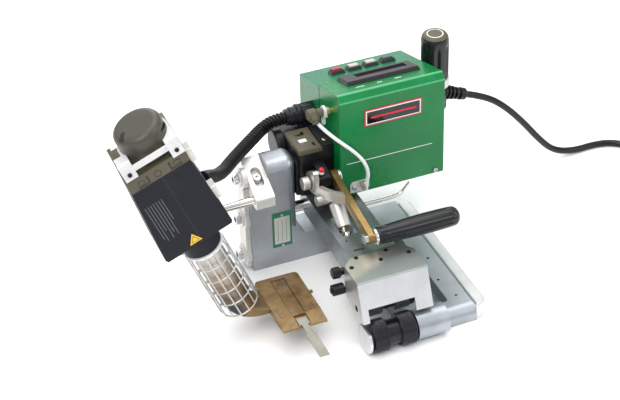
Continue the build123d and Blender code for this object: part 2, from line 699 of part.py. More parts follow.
def gearbox():
    width = GEARBOX_X1 - GEARBOX_X0
    depth = GEARBOX_Y1 - GEARBOX_Y0
    middle = ((GEARBOX_X0 + GEARBOX_X1) / 2, (GEARBOX_Y0 + GEARBOX_Y1) / 2)
    with BuildPart() as housing:
        with BuildSketch(Plane.XY.offset(GEARBOX_Z0)):
            with Locations(middle):
                Rectangle(width, depth)
        extrude(amount=GEARBOX_Z1 - GEARBOX_Z0)
        fillet(housing.edges().filter_by(Axis.Z).group_by(Axis.Y)[0].sort_by(Axis.X)[0], radius=5)
        with BuildSketch(Plane.XY.offset(GEARBOX_Z0 + 3)):
            with Locations((middle[0], (GEARBOX_Y0 + LID_Y1) / 2)):
                Rectangle(width - 6, LID_Y1 - GEARBOX_Y0 - 6)
        extrude(amount=GEARBOX_Z1 - GEARBOX_Z0, mode=Mode.SUBTRACT)
        # flange to the frame housing
        with BuildSketch(along_x(HOUSING_X1, 0, 0)):
            with Locations((197, 107)):
                Rectangle(30, 42)
        extrude(amount=GEARBOX_X0 - HOUSING_X1)
    finish(housing.part, "gearbox_housing")
    with BuildPart() as cover:
        with BuildSketch(Plane.XY.offset(GEARBOX_Z1)):
            with Locations((-15, (GEARBOX_Y0 + LID_Y1) / 2)):
                Rectangle(28, LID_Y1 - GEARBOX_Y0)
        extrude(amount=GEARBOX_TOP - GEARBOX_Z1)
        chamfer(cover.faces().sort_by(Axis.Z)[-1].edges(), length=1)
    finish(cover.part, "gearbox_cover")
    with BuildPart() as cap:
        with BuildSketch(Plane.XY.offset(GEARBOX_Z1)):
            with Locations((5.7, (GEARBOX_Y0 + LID_Y1) / 2)):
                Rectangle(2 * (GEARBOX_X1 - 5.7), LID_Y1 - GEARBOX_Y0)
        extrude(amount=GEARBOX_TOP + 1 - GEARBOX_Z1)
        with Locations((5.7, 192, GEARBOX_TOP + 1)):
            Hole(2.2, depth=4)
    finish(cap.part, "terminal_cover")
    with BuildPart() as motor:
        with BuildSketch(along_x(MOTOR_X0, MOTOR_Y, MOTOR_Z)):
            Circle(MOTOR_R)
        extrude(amount=GEARBOX_X0 - MOTOR_X0)
        fillet(motor.edges().sort_by(Axis.X)[0], radius=3)
    finish(motor.part, "drive_motor")


def top_height(y):
    """Height of the control box's sloping top at y."""
    return BOX_TOP_Z - (y - BOX_TOP_Y) * math.tan(TOP_SLOPE)


def panel_plane(x, y, lift=0.0):
    """A plane on the sloping top at (x, y), lifted along its normal."""
    normal = Vector(0, math.sin(TOP_SLOPE), math.cos(TOP_SLOPE))
    return Plane(origin=Vector(x, y, top_height(y)) + normal * lift, x_dir=(1, 0, 0), z_dir=normal)


BUTTON_X = [46.0 + 20.5 * i for i in range(4)]
BUTTON_Y = 251.0
BUTTON_W, BUTTON_D = 11.0, 8.0
BEZEL_LIFT = 4.0
BUTTON_NAMES = ["button_red", "button_plus", "button_minus", "button_menu"]
BUTTON_TRAVEL = 1.5


def box_shells():
    front = [(BOX_Y0, BOX_Z0 + SHEET), (BOX_Y0, BOX_BEND_Z), (BOX_TOP_Y, BOX_TOP_Z),
             (BOX_SEAM_Y, top_height(BOX_SEAM_Y)), (BOX_SEAM_Y, BOX_Z0 + SHEET)]
    front_in = [(BOX_Y0 + SHEET, 0), (BOX_Y0 + SHEET, BOX_BEND_Z - 0.8),
                (BOX_TOP_Y + 0.8, BOX_TOP_Z - SHEET - 0.3), (BOX_SEAM_Y + 9, top_height(BOX_SEAM_Y + 9) - SHEET),
                (BOX_SEAM_Y + 9, 0)]
    rear = [(BOX_SEAM_Y, BOX_Z0 + SHEET), (BOX_SEAM_Y, top_height(BOX_SEAM_Y)), (BOX_Y1, BOX_BACK_Z),
            (BOX_Y1, BOX_Z0 + SHEET)]
    rear_in = [(BOX_SEAM_Y - 9, 0), (BOX_SEAM_Y - 9, top_height(BOX_SEAM_Y - 9) - SHEET),
               (BOX_Y1 - SHEET, BOX_BACK_Z - SHEET + 0.6), (BOX_Y1 - SHEET, 0)]
    for label, outside, inside in (("front_shell", front, front_in), ("rear_shell", rear, rear_in)):
        with BuildPart() as shell:
            with BuildSketch(along_x(BOX_X0, 0, 0)):
                with BuildLine():
                    Polyline(*outside, close=True)
                make_face()
            extrude(amount=BOX_X1 - BOX_X0)
            with BuildSketch(along_x(BOX_X0 + SHEET, 0, 0)):
                with BuildLine():
                    Polyline(*inside, close=True)
                make_face()
            extrude(amount=BOX_X1 - BOX_X0 - 2 * SHEET, mode=Mode.SUBTRACT)
            if label == "front_shell":
                with BuildSketch(Plane.XY.offset(BOX_Z0)):
                    with Locations(((BOX_X0 + BOX_X1) / 2, (BOX_Y0 + BOX_Y1) / 2)):
                        Rectangle(BOX_X1 - BOX_X0, BOX_Y1 - BOX_Y0)
                extrude(amount=SHEET)
            else:
                for x in BUTTON_X:
                    with BuildSketch(panel_plane(x, BUTTON_Y)):
                        Rectangle(BUTTON_W + 1, BUTTON_D + 1)
                    extrude(amount=-4, mode=Mode.SUBTRACT)
        finish(shell.part, label)


def control_panel():
    with BuildPart() as bezels:
        for x in BUTTON_X:
            with BuildSketch(panel_plane(x, BUTTON_Y)):
                Rectangle(17, 14)
            extrude(amount=BEZEL_LIFT, taper=20)
            with BuildSketch(panel_plane(x, BUTTON_Y)):
                Rectangle(BUTTON_W + 0.6, BUTTON_D + 0.6)
            extrude(amount=BEZEL_LIFT + 1, mode=Mode.SUBTRACT)
        with BuildSketch(panel_plane(78.2, 208)):
            Rectangle(88, 33)
        extrude(amount=4.5, taper=25)
        with BuildSketch(panel_plane(82, 210.5, 4.5)):
            Rectangle(60, 13)
        extrude(amount=-2, mode=Mode.SUBTRACT)
    finish(bezels.part, "panel_bezels")
    for x, label in zip(BUTTON_X, BUTTON_NAMES):
        with BuildPart() as button:
            with BuildSketch(panel_plane(x, BUTTON_Y, -0.5)):
                Rectangle(BUTTON_W, BUTTON_D)
            extrude(amount=BEZEL_LIFT + 2.2)
            chamfer(button.faces().sort_by(Axis.Z)[-1].edges(), length=0.4)
        finish(button.part, label)


def cable_fittings():
    gland_y, gland_z = 240.0, 152.0
    with BuildPart() as gland:
        for x, length, radius in ((BOX_X0, 17, 11.5), (BOX_X0 - 17, 4, 12.5), (BOX_X0 - 21, 9, 10.5),
                                  (BOX_X0 - 30, 4.5, 9)):
            with BuildSketch(along_x(x, gland_y, gland_z)):
                Circle(radius)
            extrude(amount=-length)
    finish(gland.part, "hose_gland")
    with BuildPart() as connector:
        for x, length, radius in ((BOX_X0, 8, 3), (BOX_X0 - 8, 6, 7.5), (BOX_X0 - 14, 4, 5)):
            with BuildSketch(along_x(x, 186, 185)):
                Circle(radius)
            extrude(amount=-length)
        with Locations((-9, 185, 183)):
            Box(11, 11, 11)
    finish(connector.part, "sensor_connector")
    with BuildPart() as bracket:
        with BuildSketch(Plane.XZ.offset(-BOX_Y0)):
            with BuildLine():
                Polyline((23, 86), (23, 97), (26, 100), (45, 100.3), (45, 90), (41, 85), close=True)
            make_face()
        extrude(amount=3)
        with BuildSketch(Plane.XY.offset(90)):
            with Locations((40, 157)):
                Rectangle(9, 7)
        extrude(amount=10.3)
        with BuildSketch(Plane.XZ.offset(-BOX_Y0 + 3)):
            with Locations((28.5, 92)):
                Circle(2.6)
        extrude(amount=1.6)
    finish(bracket.part, "cable_bracket")


GRIP_POST_X, GRIP_POST_Y = 155.5, 227.0


def carrying_grip():
    with BuildPart() as base:
        with BuildSketch(Plane.XY.offset(128)):
            with Locations((GRIP_POST_X, GRIP_POST_Y)):
                Circle(14.5)
            with Locations(((GRIP_POST_X + BOX_X1) / 2, GRIP_POST_Y)):
                Rectangle(GRIP_POST_X - BOX_X1, 29)
        extrude(amount=30)
        with BuildSketch(Plane.XY.offset(158)):
            with Locations((GRIP_POST_X, GRIP_POST_Y)):
                Circle(17.3)
        extrude(amount=10)
        fillet(base.faces().sort_by(Axis.Z)[-1].edges(), radius=1)
    finish(base.part, "grip_socket")
    with BuildPart() as grip:
        with BuildSketch(Plane.XY.offset(168)):
            with Locations((GRIP_POST_X, GRIP_POST_Y)):
                Circle(16)
        extrude(amount=56)
        fillet(grip.faces().sort_by(Axis.Z)[-1].edges(), radius=4)
    finish(grip.part, "carrying_grip")


def mains_cord():
    start = Vector(*CORD_ROUTE[0])
    heading = (Vector(*CORD_ROUTE[1]) - start).normalized()
    with BuildPart() as relief:
        with BuildSketch(Plane(origin=start, z_dir=heading)):
            Circle(5.2)
        with BuildSketch(Plane(origin=start - heading * 27, z_dir=heading)):
            Circle(7.5)
        loft()
        split(bisect_by=Plane(origin=(GRIP_POST_X + 11.5, GRIP_POST_Y, 0), z_dir=(1, 0, 0)))
    finish(relief.part, "strain_relief")
    tube_length = round_tube(CORD_ROUTE, CORD_D, "mains_cord")
    with BuildPart() as coil:
        with BuildSketch():
            with Locations((COIL_X, COIL_Y)):
                Circle(COIL_MEAN_R + COIL_W / 2)
                Circle(COIL_MEAN_R - COIL_W / 2, mode=Mode.SUBTRACT)
        extrude(amount=COIL_H)
        fillet(coil.edges(), radius=5)
    finish(coil.part, "cord_coil")
    with BuildPart() as plug:
        with BuildSketch(along_x(PLUG_X, PLUG_Y, PLUG_Z)):
            Circle(PLUG_R)
            with Locations((0, -PLUG_R)):
                Rectangle(2 * PLUG_R, 2 * (PLUG_R + COIL_H - PLUG_Z), mode=Mode.SUBTRACT)
        extrude(amount=36)
        fillet(plug.faces().sort_by(Axis.X)[0].edges(), radius=2)
        for side in (-9.5, 9.5):
            with BuildSketch(along_x(PLUG_X + 36, PLUG_Y + side, PLUG_Z)):
                Circle(2.4)
            extrude(amount=19)
    finish(plug.part, "mains_plug")
    turns_length = COIL_TURNS * 2 * math.pi * COIL_MEAN_R
    print("cord in all", round(tube_length + turns_length), "mm")


# ---------------------------------------------------------------- blower with its hot wedge

LEAN = math.radians(BLOWER_LEAN)


def blower_plane(t, s=0.0):
    """A plane across the blower's axis: t along the axis from the tube's foot, s to the right."""
    axis = Vector(-math.sin(LEAN), 0, math.cos(LEAN))
    right = Vector(math.cos(LEAN), 0, math.sin(LEAN))
    return Plane(origin=Vector(*BLOWER_FOOT) + axis * t + right * s, x_dir=right, z_dir=axis)


def blower_front_plane(y):
    """A plane across Y in which the casing's outline is drawn: its x is s and its y is t."""
    axis = (-math.sin(LEAN), 0, math.cos(LEAN))
    right = (math.cos(LEAN), 0, math.sin(LEAN))
    return Plane(origin=(BLOWER_FOOT[0], BLOWER_FOOT[1] + y, BLOWER_FOOT[2]), x_dir=right,
                 z_dir=Vector(*right).cross(Vector(*axis)))


def blower_casing():
    half = CASING_DEPTH / 2
    with BuildPart() as casing:
        with BuildSketch(blower_front_plane(half)):
            with BuildLine():
                Polyline((-39, CASING_T0), (37, CASING_T0 + 1), (38.5, CASING_T0 + 4), (34, CASING_T1),
                         (-33, CASING_T1), (-40.5, CASING_T0 + 4), close=True)
            make_face()
        extrude(amount=CASING_DEPTH)
        with BuildSketch(blower_front_plane(half - 3)):
            with BuildLine():
                Polyline((-36, CASING_T0 + 3), (34, CASING_T0 + 3), (31, CASING_T1 - 3), (-30, CASING_T1 - 3),
                         close=True)
            make_face()
        extrude(amount=CASING_DEPTH - 6, mode=Mode.SUBTRACT)
        with BuildSketch(blower_plane(CASING_T0 + 1)):
            Circle(21)
        extrude(amount=-27)
        with BuildSketch(blower_plane(CASING_T0 + 4)):
            Circle(TUBE_R)
        extrude(amount=-32, mode=Mode.SUBTRACT)
    finish(casing.part, "blower_casing")
    with BuildPart() as head:
        with BuildSketch(blower_front_plane(half)):
            with BuildLine():
                Polyline((-33, CASING_T1), (34, CASING_T1), (35, 246), (30, 248), (30, 238), (-28, 238),
                         (-28, 242), (-32, 242), close=True)
            make_face()
        extrude(amount=CASING_DEPTH)
        fillet(head.edges().filter_by(Axis.Y).group_by(SortBy.LENGTH)[-1].sort_by(Axis.Z)[-1], radius=1)
        with BuildSketch(blower_plane(260, MOTOR_SHIFT)):
            Circle(BLOWER_MOTOR_R)
        extrude(amount=-(260 - 238.2), mode=Mode.SUBTRACT)
    finish(head.part, "casing_cover")


def blower_motor():
    with BuildPart() as motor:
        with BuildSketch(blower_plane(238.2, MOTOR_SHIFT)):
            Circle(BLOWER_MOTOR_R - 1.2)
        extrude(amount=3.8)
        with BuildSketch(blower_plane(242, MOTOR_SHIFT)):
            Circle(BLOWER_MOTOR_R - 1.2)
        extrude(amount=31)
        end = motor.faces().sort_by(blower_axis())[-1]
        fillet(end.edges(), radius=7)
    finish(motor.part, "motor_housing")
    with BuildPart() as strap:
        with BuildSketch(blower_plane(248.4, MOTOR_SHIFT)):
            Circle(BLOWER_MOTOR_R + 1.2)
            Circle(BLOWER_MOTOR_R - 1.15, mode=Mode.SUBTRACT)
            with Locations((0, -BLOWER_MOTOR_R - 10)):
                Rectangle(4 * BLOWER_MOTOR_R, 2 * BLOWER_MOTOR_R, mode=Mode.SUBTRACT)
        extrude(amount=6)
        # a straight bar joins the ears in front of the motor
        bar_x0, bar_x1 = (ear[0] for ear in STRAP_EARS)
        with BuildSketch(blower_plane(248.4, (bar_x0 + bar_x1) / 2)):
            with Locations((0, -31.8)):
                Rectangle(bar_x1 - bar_x0, 3)
        extrude(amount=6)
        for s, y0, y1 in STRAP_EARS:
            with BuildSketch(blower_plane(EAR_T0, s)):
                with Locations((0, (y0 + y1) / 2)):
                    Rectangle(EAR_W, y1 - y0)
            extrude(amount=EAR_HEIGHT)
            with BuildSketch(blower_plane(248.4, s)):
                with Locations((0, (y0 - 8) / 2)):
                    Rectangle(EAR_W, -8 - y0)
            extrude(amount=6)
        with BuildSketch(blower_plane(240, MOTOR_SHIFT)):
            Circle(BLOWER_MOTOR_R - 1.15)
        extrude(amount=40, mode=Mode.SUBTRACT)
    finish(strap.part, "motor_strap")


def blower_axis():
    """The blower's own axis, for picking its top face."""
    return Axis(BLOWER_FOOT, (-math.sin(LEAN), 0, math.cos(LEAN)))


def heater():
    with BuildPart() as element:
        with BuildSketch(blower_plane(20)):
            Circle(TUBE_R - 1.8)
        extrude(amount=80)
        with BuildSketch(blower_plane(20)):
            with PolarLocations(9.5, 6):
                Circle(2.6)
        extrude(amount=80, mode=Mode.SUBTRACT)
    finish(element.part, "heating_element")
    wire = 1.8
    with BuildPart() as cage:
        for t in (2, 20, 38, 56, 74, 92):
            with BuildSketch(blower_plane(t)):
                Circle(CAGE_R)
                Circle(CAGE_R - wire, mode=Mode.SUBTRACT)
            extrude(amount=wire)
        with BuildSketch(blower_plane(2)):
            with PolarLocations(CAGE_R - wire / 2, 10):
                Rectangle(wire, wire)
        extrude(amount=96)
        with BuildSketch(blower_plane(95.2)):
            Circle(CAGE_R)
            Circle(TUBE_R + 0.2, mode=Mode.SUBTRACT)
        extrude(amount=2.6)
    finish(cage.part, "wire_cage")


def hot_air_tube():
    duct = along_x(-124, BLOWER_FOOT[1], 34)
    with BuildPart() as elbow:
        with Locations(BLOWER_FOOT):
            Sphere(TUBE_R - 0.1)
        with BuildSketch(along_x(BLOWER_FOOT[0] + 4, BLOWER_FOOT[1], 36)):
            RectangleRounded(28, 20, 5)
        with BuildSketch(duct):
            RectangleRounded(38, 11, 3)
        loft()
        with BuildSketch(duct):
            RectangleRounded(38, 11, 3)
        extrude(amount=WEDGE_X - WEDGE_W / 2 + 124)
        with BuildSketch(blower_plane(0)):
            Circle(TUBE_R - 0.1)
        extrude(amount=CASING_T0)
        with BuildSketch(blower_plane(4)):
            Circle(TUBE_R - 1.6)
        extrude(amount=CASING_T0, mode=Mode.SUBTRACT)
    finish(elbow.part, "hot_air_tube")


def hot_wedge():
    x0, x1 = WEDGE_X - WEDGE_W / 2, WEDGE_X + WEDGE_W / 2
    middle_z = (WEDGE_Z0 + WEDGE_Z1) / 2
    with BuildPart() as wedge:
        with BuildSketch(along_x(x0, 0, 0)):
            with BuildLine():
                Polyline((WEDGE_Y0, middle_z - 1), (WEDGE_Y0, middle_z + 1.4), (45, WEDGE_Z1), (WEDGE_Y1, WEDGE_Z1),
                         (WEDGE_Y1, WEDGE_Z0), (45, WEDGE_Z0), close=True)
            make_face()
        extrude(amount=x1 - x0)
        back = wedge.edges().filter_by(Axis.Z).group_by(Axis.Y)[-1]
        fillet(back, radius=5)
        with BuildSketch(Plane.XY.offset(WEDGE_Z1)):
            with Locations((WEDGE_X, 77)):
                Rectangle(15, 62)
        extrude(amount=-1.2, mode=Mode.SUBTRACT)
        with BuildSketch(Plane.XY.offset(TONGUE_Z)):
            with Locations((WEDGE_X, 34)):
                Rectangle(14, 19)
        extrude(amount=5, mode=Mode.SUBTRACT)
        with BuildSketch(along_x(x1, 78, middle_z)):
            Circle(2)
        extrude(amount=4)
    finish(wedge.part, "hot_wedge")
    with BuildPart() as tail:
        with BuildSketch(Plane.XY.offset(TONGUE_Z)):
            with Locations((WEDGE_X, 33)):
                Rectangle(12, 12)
            with Locations((WEDGE_X, 19)):
                Rectangle(7, 18)
            with Locations((WEDGE_X, -8.5)):
                Rectangle(11, 39)
        extrude(amount=TONGUE_T)
    finish(tail.part, "test_channel_tongue")


def blower_carriage():
    x0, x1 = -195.0, -176.5
    with BuildPart() as carriage:
        with BuildSketch(along_x(x0, 0, 0)):
            with BuildLine():
                Polyline((156, 93), (180, 93), (180, 117), (118, 117), (118, 200), (113, 200), (113, 100),
                         (156, 100), close=True)
            make_face()
        extrude(amount=x1 - x0)
        with BuildSketch(along_x(x0, SHAFT_Y, SHAFT_Z)):
            Circle(SHAFT_R + 0.06)
        extrude(amount=x1 - x0, mode=Mode.SUBTRACT)
    finish(carriage.part, "blower_carriage")


base_plate()
side_rail()
frame_housing()
side_cover()
clamp_block()
socket_bolts()
guide_shaft()
pivot_shaft()
lower_axle()
roller(LOWER_R, 5.0, 0, LOWER_Z, "lower_roller")
roller(UPPER_R, 4.05, UPPER_Y, UPPER_Z, "upper_roller", hub=CHAIN_X0 + 0.3 - ROLLER_W / 2)
arm_channel()
head_housing()
upper_axle()
drive_chain()
clamping_strut()
guide_parts()
sheet_guide_rod()
lever_bar()
lever_fork()
lever_grip()
lever_mount()
gearbox()
box_shells()
control_panel()
cable_fittings()
round_tube(SENSOR_ROUTE, SENSOR_D, "sensor_cable")
round_tube(HOSE_ROUTE, HOSE_D, "cable_hose")
carrying_grip()
mains_cord()
blower_casing()
blower_motor()
heater()
hot_air_tube()
hot_wedge()
blower_carriage()
print(len(weights), "pieces")
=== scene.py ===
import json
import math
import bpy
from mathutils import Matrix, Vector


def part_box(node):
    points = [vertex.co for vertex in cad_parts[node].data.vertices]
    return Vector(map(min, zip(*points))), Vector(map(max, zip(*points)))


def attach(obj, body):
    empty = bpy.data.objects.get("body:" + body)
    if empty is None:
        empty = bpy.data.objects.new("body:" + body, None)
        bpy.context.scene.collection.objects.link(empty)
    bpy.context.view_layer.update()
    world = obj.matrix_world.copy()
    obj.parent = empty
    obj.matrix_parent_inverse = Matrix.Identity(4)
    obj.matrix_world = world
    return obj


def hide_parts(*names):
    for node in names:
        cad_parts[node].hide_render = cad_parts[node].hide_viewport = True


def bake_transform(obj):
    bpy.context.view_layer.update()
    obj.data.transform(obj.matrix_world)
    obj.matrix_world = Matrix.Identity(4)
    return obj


bl_info = {
    "name": "Hot wedge seam welder",
    "version": (1, 0, 0),
    "blender": (4, 5, 0),
    "location": "View3D > Sidebar > Welder",
    "description": "Builds the visual model of a hot wedge seam welding machine around its packed frame",
    "category": "Object",
}

import bmesh
import bpy
from bpy.props import FloatProperty, FloatVectorProperty, IntProperty, PointerProperty
from mathutils import Matrix, Vector

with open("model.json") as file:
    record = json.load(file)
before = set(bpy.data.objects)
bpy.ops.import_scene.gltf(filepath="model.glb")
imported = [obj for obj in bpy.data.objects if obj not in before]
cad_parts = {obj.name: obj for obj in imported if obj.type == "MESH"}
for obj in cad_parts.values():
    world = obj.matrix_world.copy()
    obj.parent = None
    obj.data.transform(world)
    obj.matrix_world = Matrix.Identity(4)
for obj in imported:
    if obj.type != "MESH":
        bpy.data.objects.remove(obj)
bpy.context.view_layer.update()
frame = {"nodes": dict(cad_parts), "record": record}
BODY = {node: body for body, nodes in frame["record"]["behaviour"]["bodies"].items() for node in nodes}
MM = 0.001


def middle(node):
    """The centre of a node's box."""
    low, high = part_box(node)
    return (Vector(low) + Vector(high)) / 2


# The machine is drawn in millimetres from the floor point under the middle of the lower roller.
HOME = Vector((middle("lower_roller").x, middle("lower_roller").y, 0))
RIGHT, LEFT = (1, 0, 0), (-1, 0, 0)
BACK, FRONT = (0, 1, 0), (0, -1, 0)
UP, DOWN = (0, 0, 1), (0, 0, -1)

# The blower leans to the left about the point where its tube's axis starts.
LEAN = math.radians(22)
BLOWER_FOOT = (-139, 83, 41)

# The camera that first looks at the machine: place in millimetres, turns in degrees, lens in millimetres.
CAMERA_PLACE = (-623.3, -1390.3, 1287.8)
CAMERA_TURNS = (21.08, 35.73, -1.78)
CAMERA_LENS = 108.05

# Heights and reach of the lever's pin and of its grip, and the middle of the carrying grip.
PIN_Y, PIN_Z = 163, 114
GRIP_Y, GRIP_Z = 63, 98
CARRY_X, CARRY_Y = 155.5, 227

# The control box's front face, its middle, and the blower's broad front face in the blower's own plane.
BOX_X, BOX_FRONT_Y = 75.25, 163
CASING_FRONT_Y = -29.4

# The folds along the box's upper front edge (Y and height), where the enamel gets painted highlight lines,
# and the panel's rise and run.
FRONT_FOLDS = ((163, 204.6), (170.3, 211.7))
PANEL_RISE, PANEL_RUN = 0.0345, 0.1107


def at(x, y, z):
    """A point given in millimetres from the lower roller's foot."""
    return HOME + Vector((x, y, z)) * MM


def facing(origin, normal, x_axis):
    """A drawing plane at the origin given: z along the normal and x along x_axis."""
    z = Vector(normal).normalized()
    x = Vector(x_axis)
    x = (x - z * x.dot(z)).normalized()
    y = z.cross(x)
    turn = Matrix((x, y, z)).transposed().to_4x4()
    return Matrix.Translation(origin) @ turn


BLOWER = facing(at(*BLOWER_FOOT), (-math.sin(LEAN), 0, math.cos(LEAN)), (math.cos(LEAN), 0, math.sin(LEAN)))
BOX_LOW = Vector(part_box("front_shell")[0])
SLOPE = math.atan2(PANEL_RISE, PANEL_RUN)
PANEL = facing(at(BOX_X, 170.3, 212), (0, math.sin(SLOPE), math.cos(SLOPE)), RIGHT)


# ------------------------------------------------------------------ node graphs

class Value:
    """A number in a node graph; arithmetic on it adds Math nodes."""

    def __init__(self, graph, socket):
        self.graph = graph
        self.socket = socket

    def calc(self, operation, *others):
        node = self.graph.node("ShaderNodeMath", {"operation": operation},
                               dict(enumerate((self,) + others)))
        return Value(self.graph, node.outputs[0])

    def swapped(self, operation, other):
        node = self.graph.node("ShaderNodeMath", {"operation": operation}, {0: other, 1: self})
        return Value(self.graph, node.outputs[0])

    def __add__(self, other):
        return self.calc("ADD", other)

    def __sub__(self, other):
        return self.calc("SUBTRACT", other)

    def __rsub__(self, other):
        return self.swapped("SUBTRACT", other)

    def __mul__(self, other):
        return self.calc("MULTIPLY", other)

    def __truediv__(self, other):
        return self.calc("DIVIDE", other)

    def between(self, low, high):
        """0 below low, 1 above high and smooth between them."""
        node = self.graph.node("ShaderNodeMapRange", {"interpolation_type": "SMOOTHSTEP"},
                               {"Value": self, "From Min": low, "From Max": high})
        return Value(self.graph, node.outputs[0])


class Graph:
    """A node tree with one way of adding a node: its type, its settings, then its sockets."""

    def __init__(self, tree):
        self.tree = tree

    def node(self, kind, settings=None, values=None):
        node = self.tree.nodes.new(kind)
        for key, setting in (settings or {}).items():
            if key == "stops":
                while len(node.color_ramp.elements) < len(setting):
                    node.color_ramp.elements.new(0.5)
                for element, (place, colour) in zip(node.color_ramp.elements, setting):
                    element.position = place
                    element.color = (*colour, 1)
            else:
                setattr(node, key, setting)
        for key, value in (values or {}).items():
            self.feed(node.inputs[key], value)
        return node

    def feed(self, socket, value):
        if isinstance(value, Value):
            value = value.socket
        if isinstance(value, bpy.types.NodeSocket):
            self.tree.links.new(value, socket)
        else:
            socket.default_value = value


class Finish(Graph):
    """A material whose detail comes from noise on object coordinates, at real scale."""

    def __init__(self, name):
        self.material = bpy.data.materials.new(name)
        self.material.use_nodes = True
        super().__init__(self.material.node_tree)
        self.tree.nodes.clear()
        self.surface = self.node("ShaderNodeBsdfPrincipled")
        self.node("ShaderNodeOutputMaterial", None, {"Surface": self.surface.outputs[0]})
        self.place = self.node("ShaderNodeTexCoord").outputs["Object"]

    def axis(self, index):
        """One coordinate of the place, in metres."""
        node = self.node("ShaderNodeSeparateXYZ", None, {0: self.place})
        return Value(self, node.outputs[index])

    def noise(self, scale, detail=3.0, stretch=(1, 1, 1), roughness=0.55):
        mapped = self.node("ShaderNodeMapping", None, {"Vector": self.place, "Scale": stretch})
        node = self.node("ShaderNodeTexNoise", None, {
            "Vector": mapped.outputs[0], "Scale": scale, "Detail": detail, "Roughness": roughness})
        return Value(self, node.outputs[0])

    def cells(self, scale):
        node = self.node("ShaderNodeTexVoronoi", {"feature": "F1"}, {"Vector": self.place, "Scale": scale})
        return Value(self, node.outputs[0])

    def mix(self, factor, first, second):
        """A blend of two colours."""
        colours = [c if isinstance(c, bpy.types.NodeSocket) else (*c, 1) for c in (first, second)]
        node = self.node("ShaderNodeMix", {"data_type": "RGBA"}, {0: factor, 6: colours[0], 7: colours[1]})
        return node.outputs[2]

    def ramp(self, value, stops):
        return self.node("ShaderNodeValToRGB", {"stops": stops}, {0: value}).outputs[0]

    def bump(self, height, distance, strength):
        values = {"Height": height, "Distance": distance, "Strength": strength}
        return self.node("ShaderNodeBump", None, values).outputs[0]

    def done(self, **sockets):
        for key, value in sockets.items():
            self.feed(self.surface.inputs[key.replace("_", " ")], value)
        return self.material


def shade(colour, amount):
    return tuple(min(1.0, c * amount) for c in colour)


def cast_metal(name, colour, rough=0.42, grain=0.00012, brush=(1, 1, 1)):
    """Bead-blasted or milled aluminium: cloudy tone, faint brushing, pits and handling marks."""
    look = Finish(name)
    clouds = look.noise(28, 4)
    fine = look.noise(900, 2, brush)
    stains = look.noise(9, 3).between(0.52, 0.72)
    tone = look.mix(clouds.between(0.3, 0.7), shade(colour, 0.86), shade(colour, 1.08))
    tone = look.mix(stains * 0.35, tone, shade(colour, 0.74))
    tone = look.mix(look.cells(260).between(0.0, 0.12) * -0.5 + 0.5, tone, shade(colour, 0.8))
    wear = look.noise(420, 3, brush)
    return look.done(Base_Color=tone, Metallic=0.9, Roughness=wear * 0.22 + (rough - 0.11),
                     Normal=look.bump(fine, grain, 0.7))


def head_metal(name):
    """The roller head: near-white brushed sides and a top painted darker grey-green with a tan band across
    it, both painted reflections.
    """
    look = Finish(name)
    lines = look.noise(55, 4, (14, 60, 60))
    clouds = look.noise(30, 4)
    # Painted reflection: the top is painted darker grey-green with a slanted tan band, standing in for what
    # the top reflects.
    top = look.axis(2).between(0.0818, 0.0826)
    band = (look.axis(0) * 0.45 - look.axis(1) + (clouds - 0.5) * 0.012) * 60
    tan_reflection_band = band.calc("SINE").between(0.2, 0.95)
    sheet = look.mix(clouds.between(0.3, 0.7), (0.70, 0.70, 0.71), (0.80, 0.80, 0.80))
    lid = look.mix(tan_reflection_band, (0.22, 0.25, 0.235), (0.50, 0.46, 0.37))
    tone = look.mix(top * 0.85, sheet, lid)
    tone = look.mix(lines.between(0.45, 0.62) * 0.2, tone, (0.35, 0.35, 0.35))
    return look.done(Base_Color=tone, Metallic=0.85, Roughness=lines * 0.2 + 0.22,
                     Normal=look.bump(lines, 0.00004, 0.6))


def brushed_metal(name, colour, rough=0.3, along=(60, 1, 60), depth=0.00005, metal=1.0):
    """Turned, ground or brushed metal with lines stretched along one axis."""
    look = Finish(name)
    lines = look.noise(55, 4, along)
    clouds = look.noise(35, 3)
    tone = look.mix(clouds.between(0.35, 0.7), shade(colour, 0.84), shade(colour, 1.08))
    tone = look.mix(lines.between(0.45, 0.62) * 0.3, tone, shade(colour, 0.72))
    return look.done(Base_Color=tone, Metallic=metal, Roughness=lines * 0.2 + (rough - 0.1),
                     Normal=look.bump(lines, depth, 0.6))


def moulded(name, colour, rough=0.45, grain=0.00008, scale=1400, dust=0.12, gloss=0.4):
    """Moulded plastic or rubber: fine grain, uneven gloss and a little dust in random patches."""
    look = Finish(name)
    skin = look.noise(scale, 2)
    patches = look.noise(30, 3)
    dusty = look.noise(12, 4).between(0.5, 0.75)
    tone = look.mix(patches, shade(colour, 0.85), shade(colour, 1.18))
    tone = look.mix(dusty * dust, tone, (0.32, 0.31, 0.29))
    return look.done(Base_Color=tone, Metallic=0.0, Roughness=patches * 0.16 + (rough - 0.08),
                     Specular_IOR_Level=gloss, Normal=look.bump(skin, grain, 0.6))


